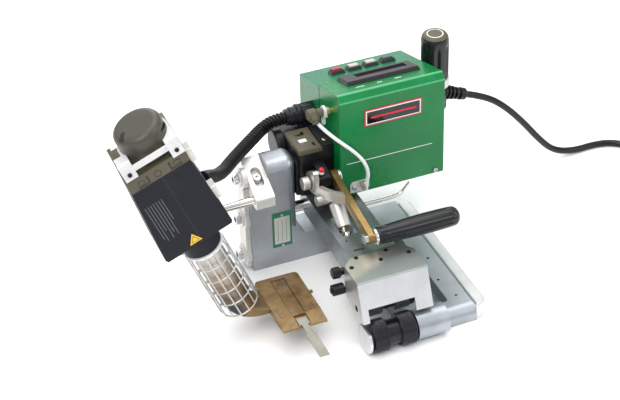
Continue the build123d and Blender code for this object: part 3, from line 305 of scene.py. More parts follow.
def enamel(name, colour):
    """Glossy stove enamel with faint orange peel, soft marks and a little dust, a bluer painted tint on the
    upper back for how light falls there, and painted highlight lines along the front folds.
    """
    look = Finish(name)
    peel = look.noise(520, 2)
    broad = look.noise(11, 2)
    rubbed = look.noise(60, 5).between(0.55, 0.8)
    tone = look.mix(broad.between(0.35, 0.65), shade(colour, 0.88), shade(colour, 1.1))
    tone = look.mix(rubbed * 0.12, tone, shade(colour, 1.5))
    # Painted light: the upper back of the box is tinted a bluer green for how light falls on it.
    painted_upper_rear_tint = look.axis(1).between(BOX_LOW.y + 0.03, BOX_LOW.y + 0.13) * look.axis(2).between(0.15, 0.21)
    tone = look.mix(painted_upper_rear_tint * 0.75, tone, (0.0, 0.17, 0.13))
    # Painted highlights: a bright green line along each fold of the front edge, for the light its bend
    # catches.
    for fold_y, fold_z in FRONT_FOLDS:
        line = at(0, fold_y, fold_z)
        far = (look.axis(2) - line.z).calc("ABSOLUTE").between(0.0004, 0.0013)
        behind = look.axis(1).between(line.y + 0.001, line.y + 0.002)
        tone = look.mix((1 - far) * (1 - behind) * 0.6, tone, (0.13, 0.50, 0.24))
    return look.done(Base_Color=tone, Roughness=rubbed * 0.12 + 0.26, Metallic=0.0,
                     Specular_IOR_Level=0.35, Normal=look.bump(peel, 0.00004, 0.5))


def heated_plate(name):
    """Bronze that heat has stained: straw, brown and violet clouds over fine grinding lines."""
    look = Finish(name)
    clouds = look.noise(38, 4)
    lines = look.noise(60, 4, (60, 1, 60))
    tone = look.ramp(clouds, [(0.3, (0.10, 0.062, 0.028)), (0.45, (0.20, 0.125, 0.055)),
                              (0.58, (0.27, 0.18, 0.085)), (0.72, (0.15, 0.10, 0.07))])
    tone = look.mix(lines.between(0.45, 0.65) * 0.3, tone, (0.16, 0.10, 0.05))
    return look.done(Base_Color=tone, Metallic=0.85, Roughness=clouds * 0.25 + 0.28,
                     Normal=look.bump(lines, 0.00004, 0.6))


def heated_tube(name, low, high):
    """Steel tube: bright at its top, straw and brown towards the hot end."""
    look = Finish(name)
    height = look.axis(2)
    clouds = look.noise(60, 4)
    heat = (height - low) / (high - low) + (clouds - 0.5) * 0.35
    tone = look.ramp(heat, [(0.0, (0.06, 0.055, 0.06)), (0.2, (0.13, 0.095, 0.07)),
                            (0.45, (0.33, 0.25, 0.18)), (0.85, (0.58, 0.56, 0.53))])
    return look.done(Base_Color=tone, Metallic=0.8, Roughness=clouds * 0.2 + 0.3,
                     Normal=look.bump(clouds, 0.0001, 0.4))


def stained_duct(name):
    """The flattened duct: blue-grey at the bend, bronze where it enters the wedge."""
    look = Finish(name)
    clouds = look.noise(70, 4)
    run = (look.axis(0) - at(-150, 0, 0).x) / 0.024 + (clouds - 0.5) * 0.5
    tone = look.ramp(run, [(0.0, (0.055, 0.06, 0.075)), (0.35, (0.10, 0.085, 0.08)),
                           (0.6, (0.24, 0.14, 0.06)), (1.0, (0.20, 0.13, 0.06))])
    return look.done(Base_Color=tone, Metallic=0.7, Roughness=clouds * 0.2 + 0.32,
                     Normal=look.bump(clouds, 0.0001, 0.4))


def screen(name):
    """Dark display window; the same dark glossy finish also paints the shade inside holes and slots."""
    look = Finish(name)
    smear = look.noise(90, 3).between(0.45, 0.7)
    return look.done(Base_Color=look.mix(smear * 0.4, (0.006, 0.005, 0.006), (0.03, 0.02, 0.02)),
                     Roughness=smear * 0.2 + 0.08)


FINISHES = {}


def make_finishes(colours):
    """Every material of the machine, by the name that the pieces use."""
    make = {
        "cast_aluminium": lambda n: cast_metal(n, (0.40, 0.425, 0.455), 0.42),
        "milled_aluminium": lambda n: cast_metal(n, (0.66, 0.665, 0.67), 0.34, 0.00005, (1, 14, 14)),
        "head_aluminium": head_metal,
        "knurl_steel": lambda n: brushed_metal(n, (0.055, 0.055, 0.065), 0.26, (4, 4, 4), 0.00002, 0.8),
        "pale_casting": lambda n: cast_metal(n, (0.78, 0.765, 0.73), 0.5, 0.00008),
        "arm_aluminium": lambda n: cast_metal(n, (0.30, 0.325, 0.34), 0.3, 0.00004, (14, 1, 14)),
        "green_paint": lambda n: enamel(n, tuple(colours.enamel)),
        "panel_black": lambda n: moulded(n, (0.016, 0.012, 0.016), 0.36, 0.00005, 1600, 0.03, 0.3),
        "black_plastic": lambda n: moulded(n, (0.007, 0.0075, 0.010), 0.34, 0.00006, 1500, 0.02, 0.3),
        "blower_plastic": lambda n: moulded(n, (0.008, 0.009, 0.014), 0.5, 0.0001, 1700, 0.02, 0.2),
        "olive_cover": lambda n: moulded(n, (0.088, 0.078, 0.048), 0.42, 0.00006, 1300, 0.06, 0.3),
        "motor_grey": lambda n: moulded(n, (0.062, 0.058, 0.044), 0.36, 0.00006, 1200, 0.05, 0.35),
        "ground_shaft": lambda n: brushed_metal(n, (0.78, 0.77, 0.74), 0.12, (80, 80, 1), 0.000004),
        "steel_fasteners": lambda n: brushed_metal(n, (0.62, 0.63, 0.66), 0.28, (8, 8, 8), 0.00003),
        "dark_steel": lambda n: brushed_metal(n, (0.014, 0.014, 0.018), 0.3, (50, 1, 1), 0.00003, 0.4),
        "black_screw": lambda n: brushed_metal(n, (0.015, 0.015, 0.018), 0.32, (4, 4, 4), 0.00003, 0.4),
        "fork_steel": lambda n: cast_metal(n, (0.60, 0.59, 0.55), 0.36, 0.00006),
        "bar_bronze": lambda n: brushed_metal(n, (0.30, 0.20, 0.08), 0.3, (30, 1, 30), 0.00004, 0.9),
        "brass": lambda n: brushed_metal(n, (0.62, 0.46, 0.20), 0.28, (20, 20, 20), 0.00003),
        "wedge_bronze": heated_plate,
        "tongue_steel": lambda n: brushed_metal(n, (0.33, 0.325, 0.28), 0.36, (40, 1, 40), 0.00003, 0.85),
        "tube_steel": lambda n: heated_tube(n, 0.03, 0.145),
        "elbow_steel": stained_duct,
        "cage_wire": lambda n: brushed_metal(n, (0.60, 0.595, 0.57), 0.3, (3, 3, 3), 0.00003, 0.8),
        "heater_ceramic": lambda n: moulded(n, (0.62, 0.58, 0.50), 0.7, 0.0001, 700, 0.2),
        "cord_black": lambda n: moulded(n, (0.005, 0.005, 0.006), 0.3, 0.00005, 1200, 0.01, 0.3),
        "cable_white": lambda n: moulded(n, (0.76, 0.77, 0.78), 0.38, 0.00004, 1200, 0.06),
        "grip_black": lambda n: moulded(n, (0.009, 0.0095, 0.011), 0.26, 0.00004, 1500, 0.02, 0.4),
        "collar_grey": lambda n: moulded(n, (0.62, 0.62, 0.62), 0.4, 0.00005, 1200, 0.06),
        "bracket_grey": lambda n: cast_metal(n, (0.66, 0.645, 0.61), 0.5, 0.00006),
        "key_red": lambda n: moulded(n, tuple(colours.red_key), 0.34, 0.00003, 1500, 0.05),
        "key_white": lambda n: moulded(n, (0.50, 0.48, 0.41), 0.34, 0.00003, 1500, 0.05),
        "key_blue": lambda n: moulded(n, (0.035, 0.075, 0.08), 0.34, 0.00003, 1500, 0.05),
        "screen": screen,
        "mark_white": lambda n: moulded(n, (0.74, 0.76, 0.76), 0.5, 0.00003, 900, 0.04),
        "mark_faint": lambda n: moulded(n, (0.11, 0.115, 0.12), 0.5, 0.00003, 900, 0.04),
        "mark_red": lambda n: moulded(n, (0.55, 0.012, 0.03), 0.35, 0.00003, 900, 0.03),
        "mark_yellow": lambda n: moulded(n, (0.78, 0.45, 0.02), 0.45, 0.00003, 900, 0.05),
        "mark_green": lambda n: moulded(n, (0.02, 0.17, 0.09), 0.4, 0.00003, 900, 0.04),
    }
    for name, maker in make.items():
        FINISHES[name] = maker(name)


# ------------------------------------------------------------------ pieces

def carry(piece, body, replaces=()):
    """Hand a finished piece to the frame: its body and the nodes it stands for."""
    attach(piece, body)
    if replaces:
        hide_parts(*replaces)
    return piece


def smooth(mesh, angle):
    mesh.shade_smooth()
    mesh.set_sharp_from_angle(angle=math.radians(angle))


def baked(piece, angle=35):
    """The piece with its modifiers made part of a plain mesh at the origin."""
    bpy.context.view_layer.update()
    evaluated = piece.evaluated_get(bpy.context.evaluated_depsgraph_get())
    mesh = bpy.data.meshes.new_from_object(evaluated)
    name = piece.name
    bpy.data.objects.remove(piece)
    mesh.name = name
    if angle is not None:
        smooth(mesh, angle)
    result = bpy.data.objects.new(name, mesh)
    bpy.context.collection.objects.link(result)
    return result


def bevelled(piece, width, segments=2, angle=35):
    """Round the sharp edges of a piece."""
    edge = piece.modifiers.new("edges", "BEVEL")
    edge.width = width
    edge.segments = segments
    edge.limit_method = "ANGLE"
    edge.angle_limit = math.radians(angle)
    smooth(piece.data, angle)
    flat = piece.modifiers.new("flat faces", "WEIGHTED_NORMAL")
    flat.keep_sharp = True
    flat.weight = 100
    return baked(piece, None)


def softened(node, finish, width, segments=2):
    """A copy of a CAD node with its sharp edges rounded, in its node's place."""
    mesh = frame["nodes"][node].data.copy()
    for name_of in ("custom_normal", "sharp_edge", "sharp_face"):
        if name_of in mesh.attributes:
            mesh.attributes.remove(mesh.attributes[name_of])
    shape = bmesh.new()
    shape.from_mesh(mesh)
    bmesh.ops.remove_doubles(shape, verts=shape.verts, dist=2e-6)
    bmesh.ops.dissolve_limit(shape, angle_limit=math.radians(0.6), verts=shape.verts, edges=shape.edges)
    shape.to_mesh(mesh)
    shape.free()
    mesh.materials.clear()
    mesh.materials.append(FINISHES[finish])
    piece = bpy.data.objects.new(node + "_body", mesh)
    bpy.context.collection.objects.link(piece)
    return carry(bevelled(piece, width, segments), BODY[node], (node,))


class Shape:
    """A mesh made of turned, extruded and lofted bodies, each with its finish."""

    def __init__(self):
        self.mesh = bmesh.new()
        self.finishes = []

    def index(self, finish):
        if finish not in self.finishes:
            self.finishes.append(finish)
        return self.finishes.index(finish)

    def loft(self, rings, finish):
        """Skin a row of rings with equal counts and close its ends."""
        slot = self.index(finish)
        rows = [[self.mesh.verts.new(p) for p in ring] for ring in rings]
        count = len(rows[0])
        faces = []
        for low, high in zip(rows, rows[1:]):
            for i in range(count):
                j = (i + 1) % count
                faces.append(self.mesh.faces.new((low[i], low[j], high[j], high[i])))
        faces.append(self.mesh.faces.new(list(reversed(rows[0]))))
        faces.append(self.mesh.faces.new(rows[-1]))
        for face in faces:
            face.material_index = slot
        return self

    def turned(self, plane, profile, finish, around=40, flute=None):
        """Revolve a profile of (along, radius) pairs, in millimetres, about the plane's z."""
        rings = []
        for along, radius in profile:
            ring = []
            for i in range(around):
                angle = 2 * math.pi * i / around
                r = radius if flute is None else radius - flute(along, angle)
                ring.append(plane @ (Vector((r * math.cos(angle), r * math.sin(angle), along)) * MM))
            rings.append(ring)
        return self.loft(rings, finish)

    def extruded(self, plane, outline, depth, finish):
        """Extrude an outline in the plane, in millimetres, along its z."""
        rings = [[plane @ (Vector((x, y, h)) * MM) for x, y in outline] for h in (0, depth)]
        return self.loft(rings, finish)

    def done(self, name, body, bevel=0.0003, segments=2, angle=35, slot=None, replaces=()):
        bmesh.ops.recalc_face_normals(self.mesh, faces=self.mesh.faces)
        data = bpy.data.meshes.new(name)
        self.mesh.to_mesh(data)
        self.mesh.free()
        for finish in self.finishes:
            data.materials.append(FINISHES[finish])
        piece = bpy.data.objects.new(name, data)
        bpy.context.collection.objects.link(piece)
        piece = bevelled(piece, bevel, segments, angle) if bevel else baked(piece, angle)
        return carry(piece, body, replaces)


def circle(radius, count=32, centre=(0, 0)):
    return [(centre[0] + radius * math.cos(2 * math.pi * i / count),
             centre[1] + radius * math.sin(2 * math.pi * i / count)) for i in range(count)]


def rectangle(width, height, centre=(0, 0), corner=0.0, steps=4):
    """A rectangle's outline with rounded corners."""
    if corner <= 0:
        w, h = width / 2, height / 2
        return [(centre[0] + x, centre[1] + y) for x, y in ((-w, -h), (w, -h), (w, h), (-w, h))]
    outline = []
    w, h = width / 2 - corner, height / 2 - corner
    for turn, (x, y) in enumerate(((w, h), (-w, h), (-w, -h), (w, -h))):
        for i in range(steps + 1):
            angle = math.radians(90 * turn + 90 * i / steps)
            outline.append((centre[0] + x + corner * math.cos(angle),
                            centre[1] + y + corner * math.sin(angle)))
    return outline


def smooth_line(points, name="route"):
    """A smooth curve that follows its control points, given in metres."""
    data = bpy.data.curves.new(name, "CURVE")
    data.dimensions = "3D"
    spline = data.splines.new("NURBS")
    spline.points.add(len(points) - 1)
    for point, place in zip(spline.points, points):
        point.co = (*place, 1)
    spline.order_u = 3
    spline.use_endpoint_u = True
    spline.resolution_u = 8
    piece = bpy.data.objects.new(name, data)
    bpy.context.collection.objects.link(piece)
    return piece


# ------------------------------------------------------------------ geometry trees

class PieceTree(Graph):
    """A Geometry Nodes tree with named inputs, ending in real geometry with one material."""

    def __init__(self, name, inputs):
        super().__init__(bpy.data.node_groups.new(name, "GeometryNodeTree"))
        self.tree.interface.new_socket("Geometry", in_out="INPUT", socket_type="NodeSocketGeometry")
        for label, kind, default in inputs:
            socket = self.tree.interface.new_socket(label, in_out="INPUT", socket_type="NodeSocket" + kind)
            if default is not None:
                socket.default_value = default
        self.tree.interface.new_socket("Finish", in_out="INPUT", socket_type="NodeSocketMaterial")
        self.tree.interface.new_socket("Geometry", in_out="OUTPUT", socket_type="NodeSocketGeometry")
        self.inputs = self.node("NodeGroupInput").outputs

    def number(self, label):
        return Value(self, self.inputs[label])

    def close(self, geometry):
        """End the tree: instances made real, one material."""
        real = self.node("GeometryNodeRealizeInstances", None, {0: geometry})
        painted = self.node("GeometryNodeSetMaterial", None, {0: real.outputs[0], 2: self.inputs["Finish"]})
        self.node("NodeGroupOutput", None, {0: painted.outputs[0]})
        return self.tree

    def vector(self, x=0.0, y=0.0, z=0.0):
        return self.node("ShaderNodeCombineXYZ", None, {0: x, 1: y, 2: z}).outputs[0]


def grown(tree, name, inputs, finish, base=None, place=None, angle=35):
    """Run a tree on a carrier object and return its result as a plain mesh object."""
    if base is None:
        base = bpy.data.objects.new(name, bpy.data.meshes.new(name))
        bpy.context.collection.objects.link(base)
    base.name = name
    modifier = base.modifiers.new("tree", "NODES")
    modifier.node_group = tree
    values = dict(inputs, Finish=FINISHES[finish])
    for socket in tree.interface.items_tree:
        if socket.item_type == "SOCKET" and socket.in_out == "INPUT" and socket.name in values:
            modifier[socket.identifier] = values[socket.name]
    bpy.context.view_layer.update()
    evaluated = base.evaluated_get(bpy.context.evaluated_depsgraph_get())
    mesh = bpy.data.meshes.new_from_object(evaluated)
    bpy.data.objects.remove(base)
    if place is not None:
        mesh.transform(place)
    mesh.name = name
    smooth(mesh, angle)
    piece = bpy.data.objects.new(name, mesh)
    bpy.context.collection.objects.link(piece)
    return piece


def copies_tree():
    """Copies of one object on points, each turned to its point's facing."""
    tree = PieceTree("set_copies", [("Copy", "Object", None)])
    copy = tree.node("GeometryNodeObjectInfo", None, {0: tree.inputs["Copy"]})
    turn = tree.node("GeometryNodeInputNamedAttribute", {"data_type": "FLOAT_VECTOR"}, {0: "facing"})
    size = tree.node("GeometryNodeInputNamedAttribute", {"data_type": "FLOAT"}, {0: "size"})
    aim = tree.node("FunctionNodeAlignRotationToVector", {"axis": "Z"}, {2: turn.outputs[0]})
    points = tree.node("GeometryNodeMeshToPoints", None, {0: tree.inputs["Geometry"]})
    setting = tree.node("GeometryNodeInstanceOnPoints", None, {
        0: points.outputs[0], 2: copy.outputs["Geometry"], 5: aim.outputs[0], 6: size.outputs[0]})
    return tree.close(setting.outputs[0])


def points_object(places):
    """A carrier mesh of points with facing and size attributes; places are (point, normal, size)."""
    data = bpy.data.meshes.new("places")
    data.from_pydata([p for p, _, _ in places], [], [])
    data.attributes.new("facing", "FLOAT_VECTOR", "POINT")
    data.attributes.new("size", "FLOAT", "POINT")
    for i, (_, normal, scale) in enumerate(places):
        data.attributes["facing"].data[i].vector = normal
        data.attributes["size"].data[i].value = scale
    carrier = bpy.data.objects.new("places", data)
    bpy.context.collection.objects.link(carrier)
    return carrier


def unit_screw(sides=28):
    """A cap screw of head radius 1 mm that stands on z = 0, with a hexagon recess."""
    shape = bmesh.new()
    angles = [2 * math.pi * i / sides for i in range(sides)]
    head = [(-0.4, 0.94), (0.0, 0.98), (0.62, 1.0), (0.8, 0.93), (0.84, 0.82)]
    hexagon = [0.5 / math.cos((angle % (math.pi / 3)) - math.pi / 6) for angle in angles]
    rings = [(h, [r] * sides) for h, r in head] + [(h, hexagon) for h in (0.84, 0.3)]
    rows = []
    for h, radii in rings:
        rows.append([shape.verts.new((r * math.cos(angle) * MM, r * math.sin(angle) * MM, h * MM))
                     for angle, r in zip(angles, radii)])
    for low, high in zip(rows, rows[1:]):
        for i in range(sides):
            j = (i + 1) % sides
            shape.faces.new((low[i], low[j], high[j], high[i]))
    shape.faces.new(rows[-1])
    shape.faces.new(list(reversed(rows[0])))
    bmesh.ops.recalc_face_normals(shape, faces=shape.faces)
    data = bpy.data.meshes.new("screw")
    shape.to_mesh(data)
    shape.free()
    piece = bpy.data.objects.new("screw", data)
    bpy.context.collection.objects.link(piece)
    return piece


def screws(name, body, finish, places, replaces=()):
    """Cap screws; places are (x, y, z, facing, head radius) in millimetres."""
    copy = unit_screw()
    carrier = points_object([(at(x, y, z), normal, radius) for x, y, z, normal, radius in places])
    piece = grown(copies_tree(), name, {"Copy": copy}, finish, carrier)
    bpy.data.objects.remove(copy)
    return carry(piece, body, replaces)


def cage_tree():
    """A wire cage: rings along z and bars around them."""
    tree = PieceTree("wire_cage", [("Radius", "Float", 0.021), ("Wire", "Float", 0.001),
                                   ("Height", "Float", 0.09), ("Rings", "Int", 6), ("Bars", "Int", 12)])
    radius, wire, height = (tree.number(label) for label in ("Radius", "Wire", "Height"))
    ring = tree.node("GeometryNodeCurvePrimitiveCircle", None, {"Resolution": 64, "Radius": radius})
    wire_section = tree.node("GeometryNodeCurvePrimitiveCircle", None, {"Resolution": 8, "Radius": wire})
    ring_mesh = tree.node("GeometryNodeCurveToMesh", None, {0: ring.outputs[0], 1: wire_section.outputs[0]})
    step = tree.vector(0.0, 0.0, height / (tree.number("Rings") - 1))
    levels = tree.node("GeometryNodeMeshLine", None, {"Count": tree.inputs["Rings"], "Offset": step})
    rings = tree.node("GeometryNodeInstanceOnPoints", None, {0: levels.outputs[0], 2: ring_mesh.outputs[0]})
    bar = tree.node("GeometryNodeCurvePrimitiveLine", None, {"End": tree.vector(0.0, 0.0, height)})
    bar_mesh = tree.node("GeometryNodeCurveToMesh", None, {
        0: bar.outputs[0], 1: wire_section.outputs[0], "Fill Caps": True})
    around = tree.node("GeometryNodeMeshCircle", {"fill_type": "NONE"}, {
        "Vertices": tree.inputs["Bars"], "Radius": radius + wire * 1.2})
    bars = tree.node("GeometryNodeInstanceOnPoints", None, {0: around.outputs[0], 2: bar_mesh.outputs[0]})
    both = tree.node("GeometryNodeJoinGeometry")
    tree.tree.links.new(rings.outputs[0], both.inputs[0])
    tree.tree.links.new(bars.outputs[0], both.inputs[0])
    return tree.close(both.outputs[0])


def hose_tree():
    """A corrugated hose along the carrier's curve."""
    tree = PieceTree("corrugated_hose", [("Radius", "Float", 0.0057), ("Ridge", "Float", 0.0018),
                                         ("Pitch", "Float", 0.003)])
    line = tree.node("GeometryNodeResampleCurve", {"mode": "LENGTH"}, {
        0: tree.inputs["Geometry"], "Length": tree.number("Pitch") / 8})
    along = tree.node("GeometryNodeSplineParameter")
    wave = (Value(tree, along.outputs["Length"]) / tree.number("Pitch") * (2 * math.pi)).calc("SINE")
    radius = tree.number("Radius") + wave.between(-0.5, 0.5) * tree.number("Ridge")
    section = tree.node("GeometryNodeCurvePrimitiveCircle", None, {"Resolution": 24, "Radius": 1.0})
    tube = tree.node("GeometryNodeCurveToMesh", None, {
        0: line.outputs[0], 1: section.outputs[0], "Scale": radius, "Fill Caps": True})
    return tree.close(tube.outputs[0])


def knurl_tree():
    """Rows of small diamond teeth around a drum that lies along z."""
    tree = PieceTree("knurl", [("Radius", "Float", 0.0175), ("Width", "Float", 0.017), ("Along", "Int", 10),
                               ("Around", "Int", 70), ("Tooth", "Float", 0.0005)])
    grid = tree.node("GeometryNodeMeshGrid", None, {
        "Size X": 1.0, "Size Y": 1.0,
        "Vertices X": tree.inputs["Along"], "Vertices Y": tree.inputs["Around"]})
    index = Value(tree, tree.node("GeometryNodeInputIndex").outputs[0])
    row = (index / tree.number("Around")).calc("FLOOR")
    step = index - row * tree.number("Around")
    odd = row.calc("MODULO", 2.0)
    angle = (step + odd * 0.5) * (2 * math.pi) / tree.number("Around")
    height = (row + 0.5) / tree.number("Along") * tree.number("Width")
    radius = tree.number("Radius")
    spot = tree.vector(angle.calc("COSINE") * radius, angle.calc("SINE") * radius, height)
    outward = tree.vector(angle.calc("COSINE"), angle.calc("SINE"), 0.0)
    placed = tree.node("GeometryNodeSetPosition", None, {0: grid.outputs[0], 2: spot})
    points = tree.node("GeometryNodeMeshToPoints", None, {0: placed.outputs[0]})
    tooth = tree.node("GeometryNodeMeshCone", {"fill_type": "NONE"}, {
        "Vertices": 4, "Radius Top": 0.0, "Radius Bottom": tree.number("Width") / tree.number("Along") * 0.62,
        "Depth": tree.inputs["Tooth"]})
    aim = tree.node("FunctionNodeAlignRotationToVector", {"axis": "Z"}, {2: outward})
    teeth = tree.node("GeometryNodeInstanceOnPoints", None, {
        0: points.outputs[0], 2: tooth.outputs[0], 5: aim.outputs[0]})
    return tree.close(teeth.outputs[0])


# ------------------------------------------------------------------ sizes and colours a user may change

class WelderColours(bpy.types.PropertyGroup):
    enamel: FloatVectorProperty(name="Enamel", description="Colour of the control box", subtype="COLOR",
                                default=(0.0, 0.17, 0.04), min=0, max=1)
    red_key: FloatVectorProperty(name="Red key", description="Colour of the stop key", subtype="COLOR",
                                 default=(0.33, 0.006, 0.02), min=0, max=1)


class WelderSizes(bpy.types.PropertyGroup):
    hose_pitch: FloatProperty(name="Hose pitch", description="Distance between the hose's ridges",
                              default=0.0042, min=0.001, max=0.01, unit="LENGTH")
    cage_wire: FloatProperty(name="Cage wire", description="Radius of the cage's wire",
                             default=0.00085, min=0.0003, max=0.003, unit="LENGTH")
    cage_bars: IntProperty(name="Cage bars", description="Bars around the cage", default=14, min=3, max=40)
    cage_rings: IntProperty(name="Cage rings", description="Rings along the cage", default=6, min=2, max=20)
    knurl_rows: IntProperty(name="Knurl rows", description="Rows of teeth along a roller's band",
                            default=12, min=2, max=30)
    cord_diameter: FloatProperty(name="Cord", description="Diameter of the mains cord",
                                 default=0.008, min=0.004, max=0.014, unit="LENGTH")


def sizes():
    return bpy.context.scene.welder_sizes


class BuildStage(bpy.types.Operator):
    """Camera, floor and soft light"""
    bl_idname = "welder.stage"
    bl_label = "Stage"

    def execute(self, context):
        yaw, pitch, roll = (math.radians(turn) for turn in CAMERA_TURNS)
        forward = Vector((math.sin(yaw) * math.cos(pitch), math.cos(yaw) * math.cos(pitch), -math.sin(pitch)))
        level = Vector((math.cos(yaw), -math.sin(yaw), 0))
        upright = level.cross(forward)
        right = level * math.cos(roll) + upright * math.sin(roll)
        up = right.cross(forward)
        data = bpy.data.cameras.new("camera")
        data.lens = CAMERA_LENS
        data.sensor_width = 36
        data.clip_end = 20
        camera = bpy.data.objects.new("camera", data)
        turn = Matrix((right, up, -forward)).transposed().to_4x4()
        camera.matrix_world = Matrix.Translation(at(*CAMERA_PLACE)) @ turn
        context.collection.objects.link(camera)
        context.scene.camera = camera

        look = Finish("studio_floor")
        speckle = look.noise(6, 2)
        look.done(Base_Color=look.mix(speckle, (0.93, 0.93, 0.93), (0.95, 0.95, 0.95)), Roughness=0.9)
        floor_mesh = bpy.data.meshes.new("floor")
        reach = 6.0
        corners = [(-reach, -reach, 0), (reach, -reach, 0), (reach, reach, 0), (-reach, reach, 0)]
        floor_mesh.from_pydata(corners, [], [(0, 1, 2, 3)])
        floor_mesh.materials.append(look.material)
        floor = bpy.data.objects.new("floor", floor_mesh)
        context.collection.objects.link(floor)

        world = bpy.data.worlds.new("studio")
        world.use_nodes = True
        sky = Graph(world.node_tree)
        world.node_tree.nodes.clear()
        place = sky.node("ShaderNodeTexCoord").outputs["Generated"]
        height = sky.node("ShaderNodeSeparateXYZ", None, {0: place})
        stops = [(0.0, (0.40, 0.43, 0.48)), (0.22, (0.46, 0.50, 0.56)), (0.42, (0.95, 0.97, 1.0)),
                 (1.0, (1.0, 1.0, 1.0))]
        dome = sky.node("ShaderNodeValToRGB", {"stops": stops}, {0: height.outputs[2]})
        background = sky.node("ShaderNodeBackground", None, {0: dome.outputs[0], 1: 0.9})
        sky.node("ShaderNodeOutputWorld", None, {0: background.outputs[0]})
        context.scene.world = world
        lamps = [
            ("key", (-1.1, -0.9, 1.9), 1.3, 26, (1.0, 0.97, 0.93)),
            ("top", (0.2, 0.5, 2.2), 1.8, 26, (1.0, 1.0, 1.0)),
            ("fill", (1.6, -1.2, 1.1), 1.2, 12, (0.93, 0.97, 1.0)),
            ("back", (0.3, 2.2, 1.2), 1.4, 14, (1.0, 0.99, 0.97)),
        ]
        for name, place, size, power, colour in lamps:
            light = bpy.data.lights.new(name, "AREA")
            light.size = size
            light.energy = power
            light.color = colour
            lamp = bpy.data.objects.new(name, light)
            lamp.location = place
            lamp.rotation_euler = (Vector((0, 0, 0.1)) - Vector(place)).to_track_quat("-Z", "Y").to_euler()
            context.collection.objects.link(lamp)
        context.scene.view_settings.view_transform = "Standard"
        return {"FINISHED"}


class BuildCord(bpy.types.Operator):
    """The mains cord with its put-away coil, its plug and its strain relief"""
    bl_idname = "welder.mains_cord"
    bl_label = "Mains cord"

    def execute(self, context):
        d = sizes().cord_diameter / MM
        coil = (middle("cord_coil") - HOME) / MM
        route = [(196, 227, 133.4), (222, 227, 123.5), (249, 228, 101), (274, 230, 72), (297, 233, 41),
                 (320, 236, 15), (350, 239, 4), (382, 241, 4), (404, 235, 4), (421, 216, 4)]
        points = [at(*p) for p in route]
        layers = [(4, (12, 4, -4, -12)), (4 + 0.92 * d, (-8, 0, 8)), (4 + 1.84 * d, (12, 4, -4))]
        turn_steps = 12
        lanes = [(43 + offset, height) for height, offsets in layers for offset in offsets]
        start = math.radians(200)
        total = len(lanes) * turn_steps
        for step in range(1, total - 1):
            lane = step / turn_steps
            low = min(int(lane), len(lanes) - 1)
            high = min(low + 1, len(lanes) - 1)
            blend = max(0.0, (lane - low - 0.75) * 4)
            radius = lanes[low][0] + (lanes[high][0] - lanes[low][0]) * blend
            height = lanes[low][1] + (lanes[high][1] - lanes[low][1]) * blend
            angle = start + 2 * math.pi * step / turn_steps
            points.append(at(coil.x + radius * math.cos(angle), coil.y + radius * math.sin(angle), height))
        plug_low, plug_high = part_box("mains_plug")
        plug_middle = middle("mains_plug")
        entry = Vector((plug_low[0], plug_middle.y, plug_middle.z))
        for angle, radius, height in ((170, 41, 21), (193, 43, 25), (213, 44, 30), (231, 45, 35)):
            turn = math.radians(angle)
            points.append(at(coil.x + radius * math.cos(turn), coil.y + radius * math.sin(turn), height))
        points.append(entry)
        cord = smooth_line(points, "mains_cord_sheath")
        cord.data.bevel_depth = d / 2 * MM
        cord.data.bevel_resolution = 4
        cord.data.use_fill_caps = True
        cord.data.materials.append(FINISHES["cord_black"])
        carry(cord, "root", ("mains_cord", "cord_coil"))

        plug = Shape()
        axis = facing(entry, RIGHT, UP)
        depth = (plug_high[0] - plug_low[0]) / MM - 19

        def flat(_along, angle):
            """The plug's body is cut flat on one side."""
            return max(0.0, 17 * math.cos(math.pi - angle) - 13) if math.cos(angle) < 0 else 0.0

        plug.turned(axis, [(0, 8), (2, 11.5), (9, 14.5), (depth - 5, 16.6), (depth - 2, 17), (depth, 16)],
                    "cord_black", 48, flat)
        for side in (-9.5, 9.5):
            pin = facing(entry + Vector((depth, side, 0)) * MM, RIGHT, UP)
            plug.turned(pin, [(-1, 2.4), (17.5, 2.4), (18.9, 1.4)], "steel_fasteners", 20)
        plug = plug.done("plug_body", "root", 0.0006, 2, 35, "cord_black", ("mains_plug",))

        relief_start = at(167, 227, 144.4)
        relief_end = at(196, 227, 133.4)
        run = (relief_end - relief_start).length / MM
        relief = Shape()
        profile = [(0, 7.4), (3, 7.4)]
        for i in range(3):
            base = 5.4 + i * 5.6
            thick = 8.6 - 0.7 * i
            profile += [(base - 1.8, 4.9), (base - 1.2, thick), (base + 1.4, thick), (base + 2.2, 4.9)]
        profile += [(run - 10, 5.0), (run - 9.4, 7.4), (run - 2.6, 7.0), (run - 1.6, 5.4), (run, 4.6)]
        relief.turned(facing(relief_start, relief_end - relief_start, (0, 1, 0)), profile, "cord_black", 32)
        relief.done("strain_relief_body", "root", 0.0002, 1, 35, "cord_black", ("strain_relief",))
        return {"FINISHED"}


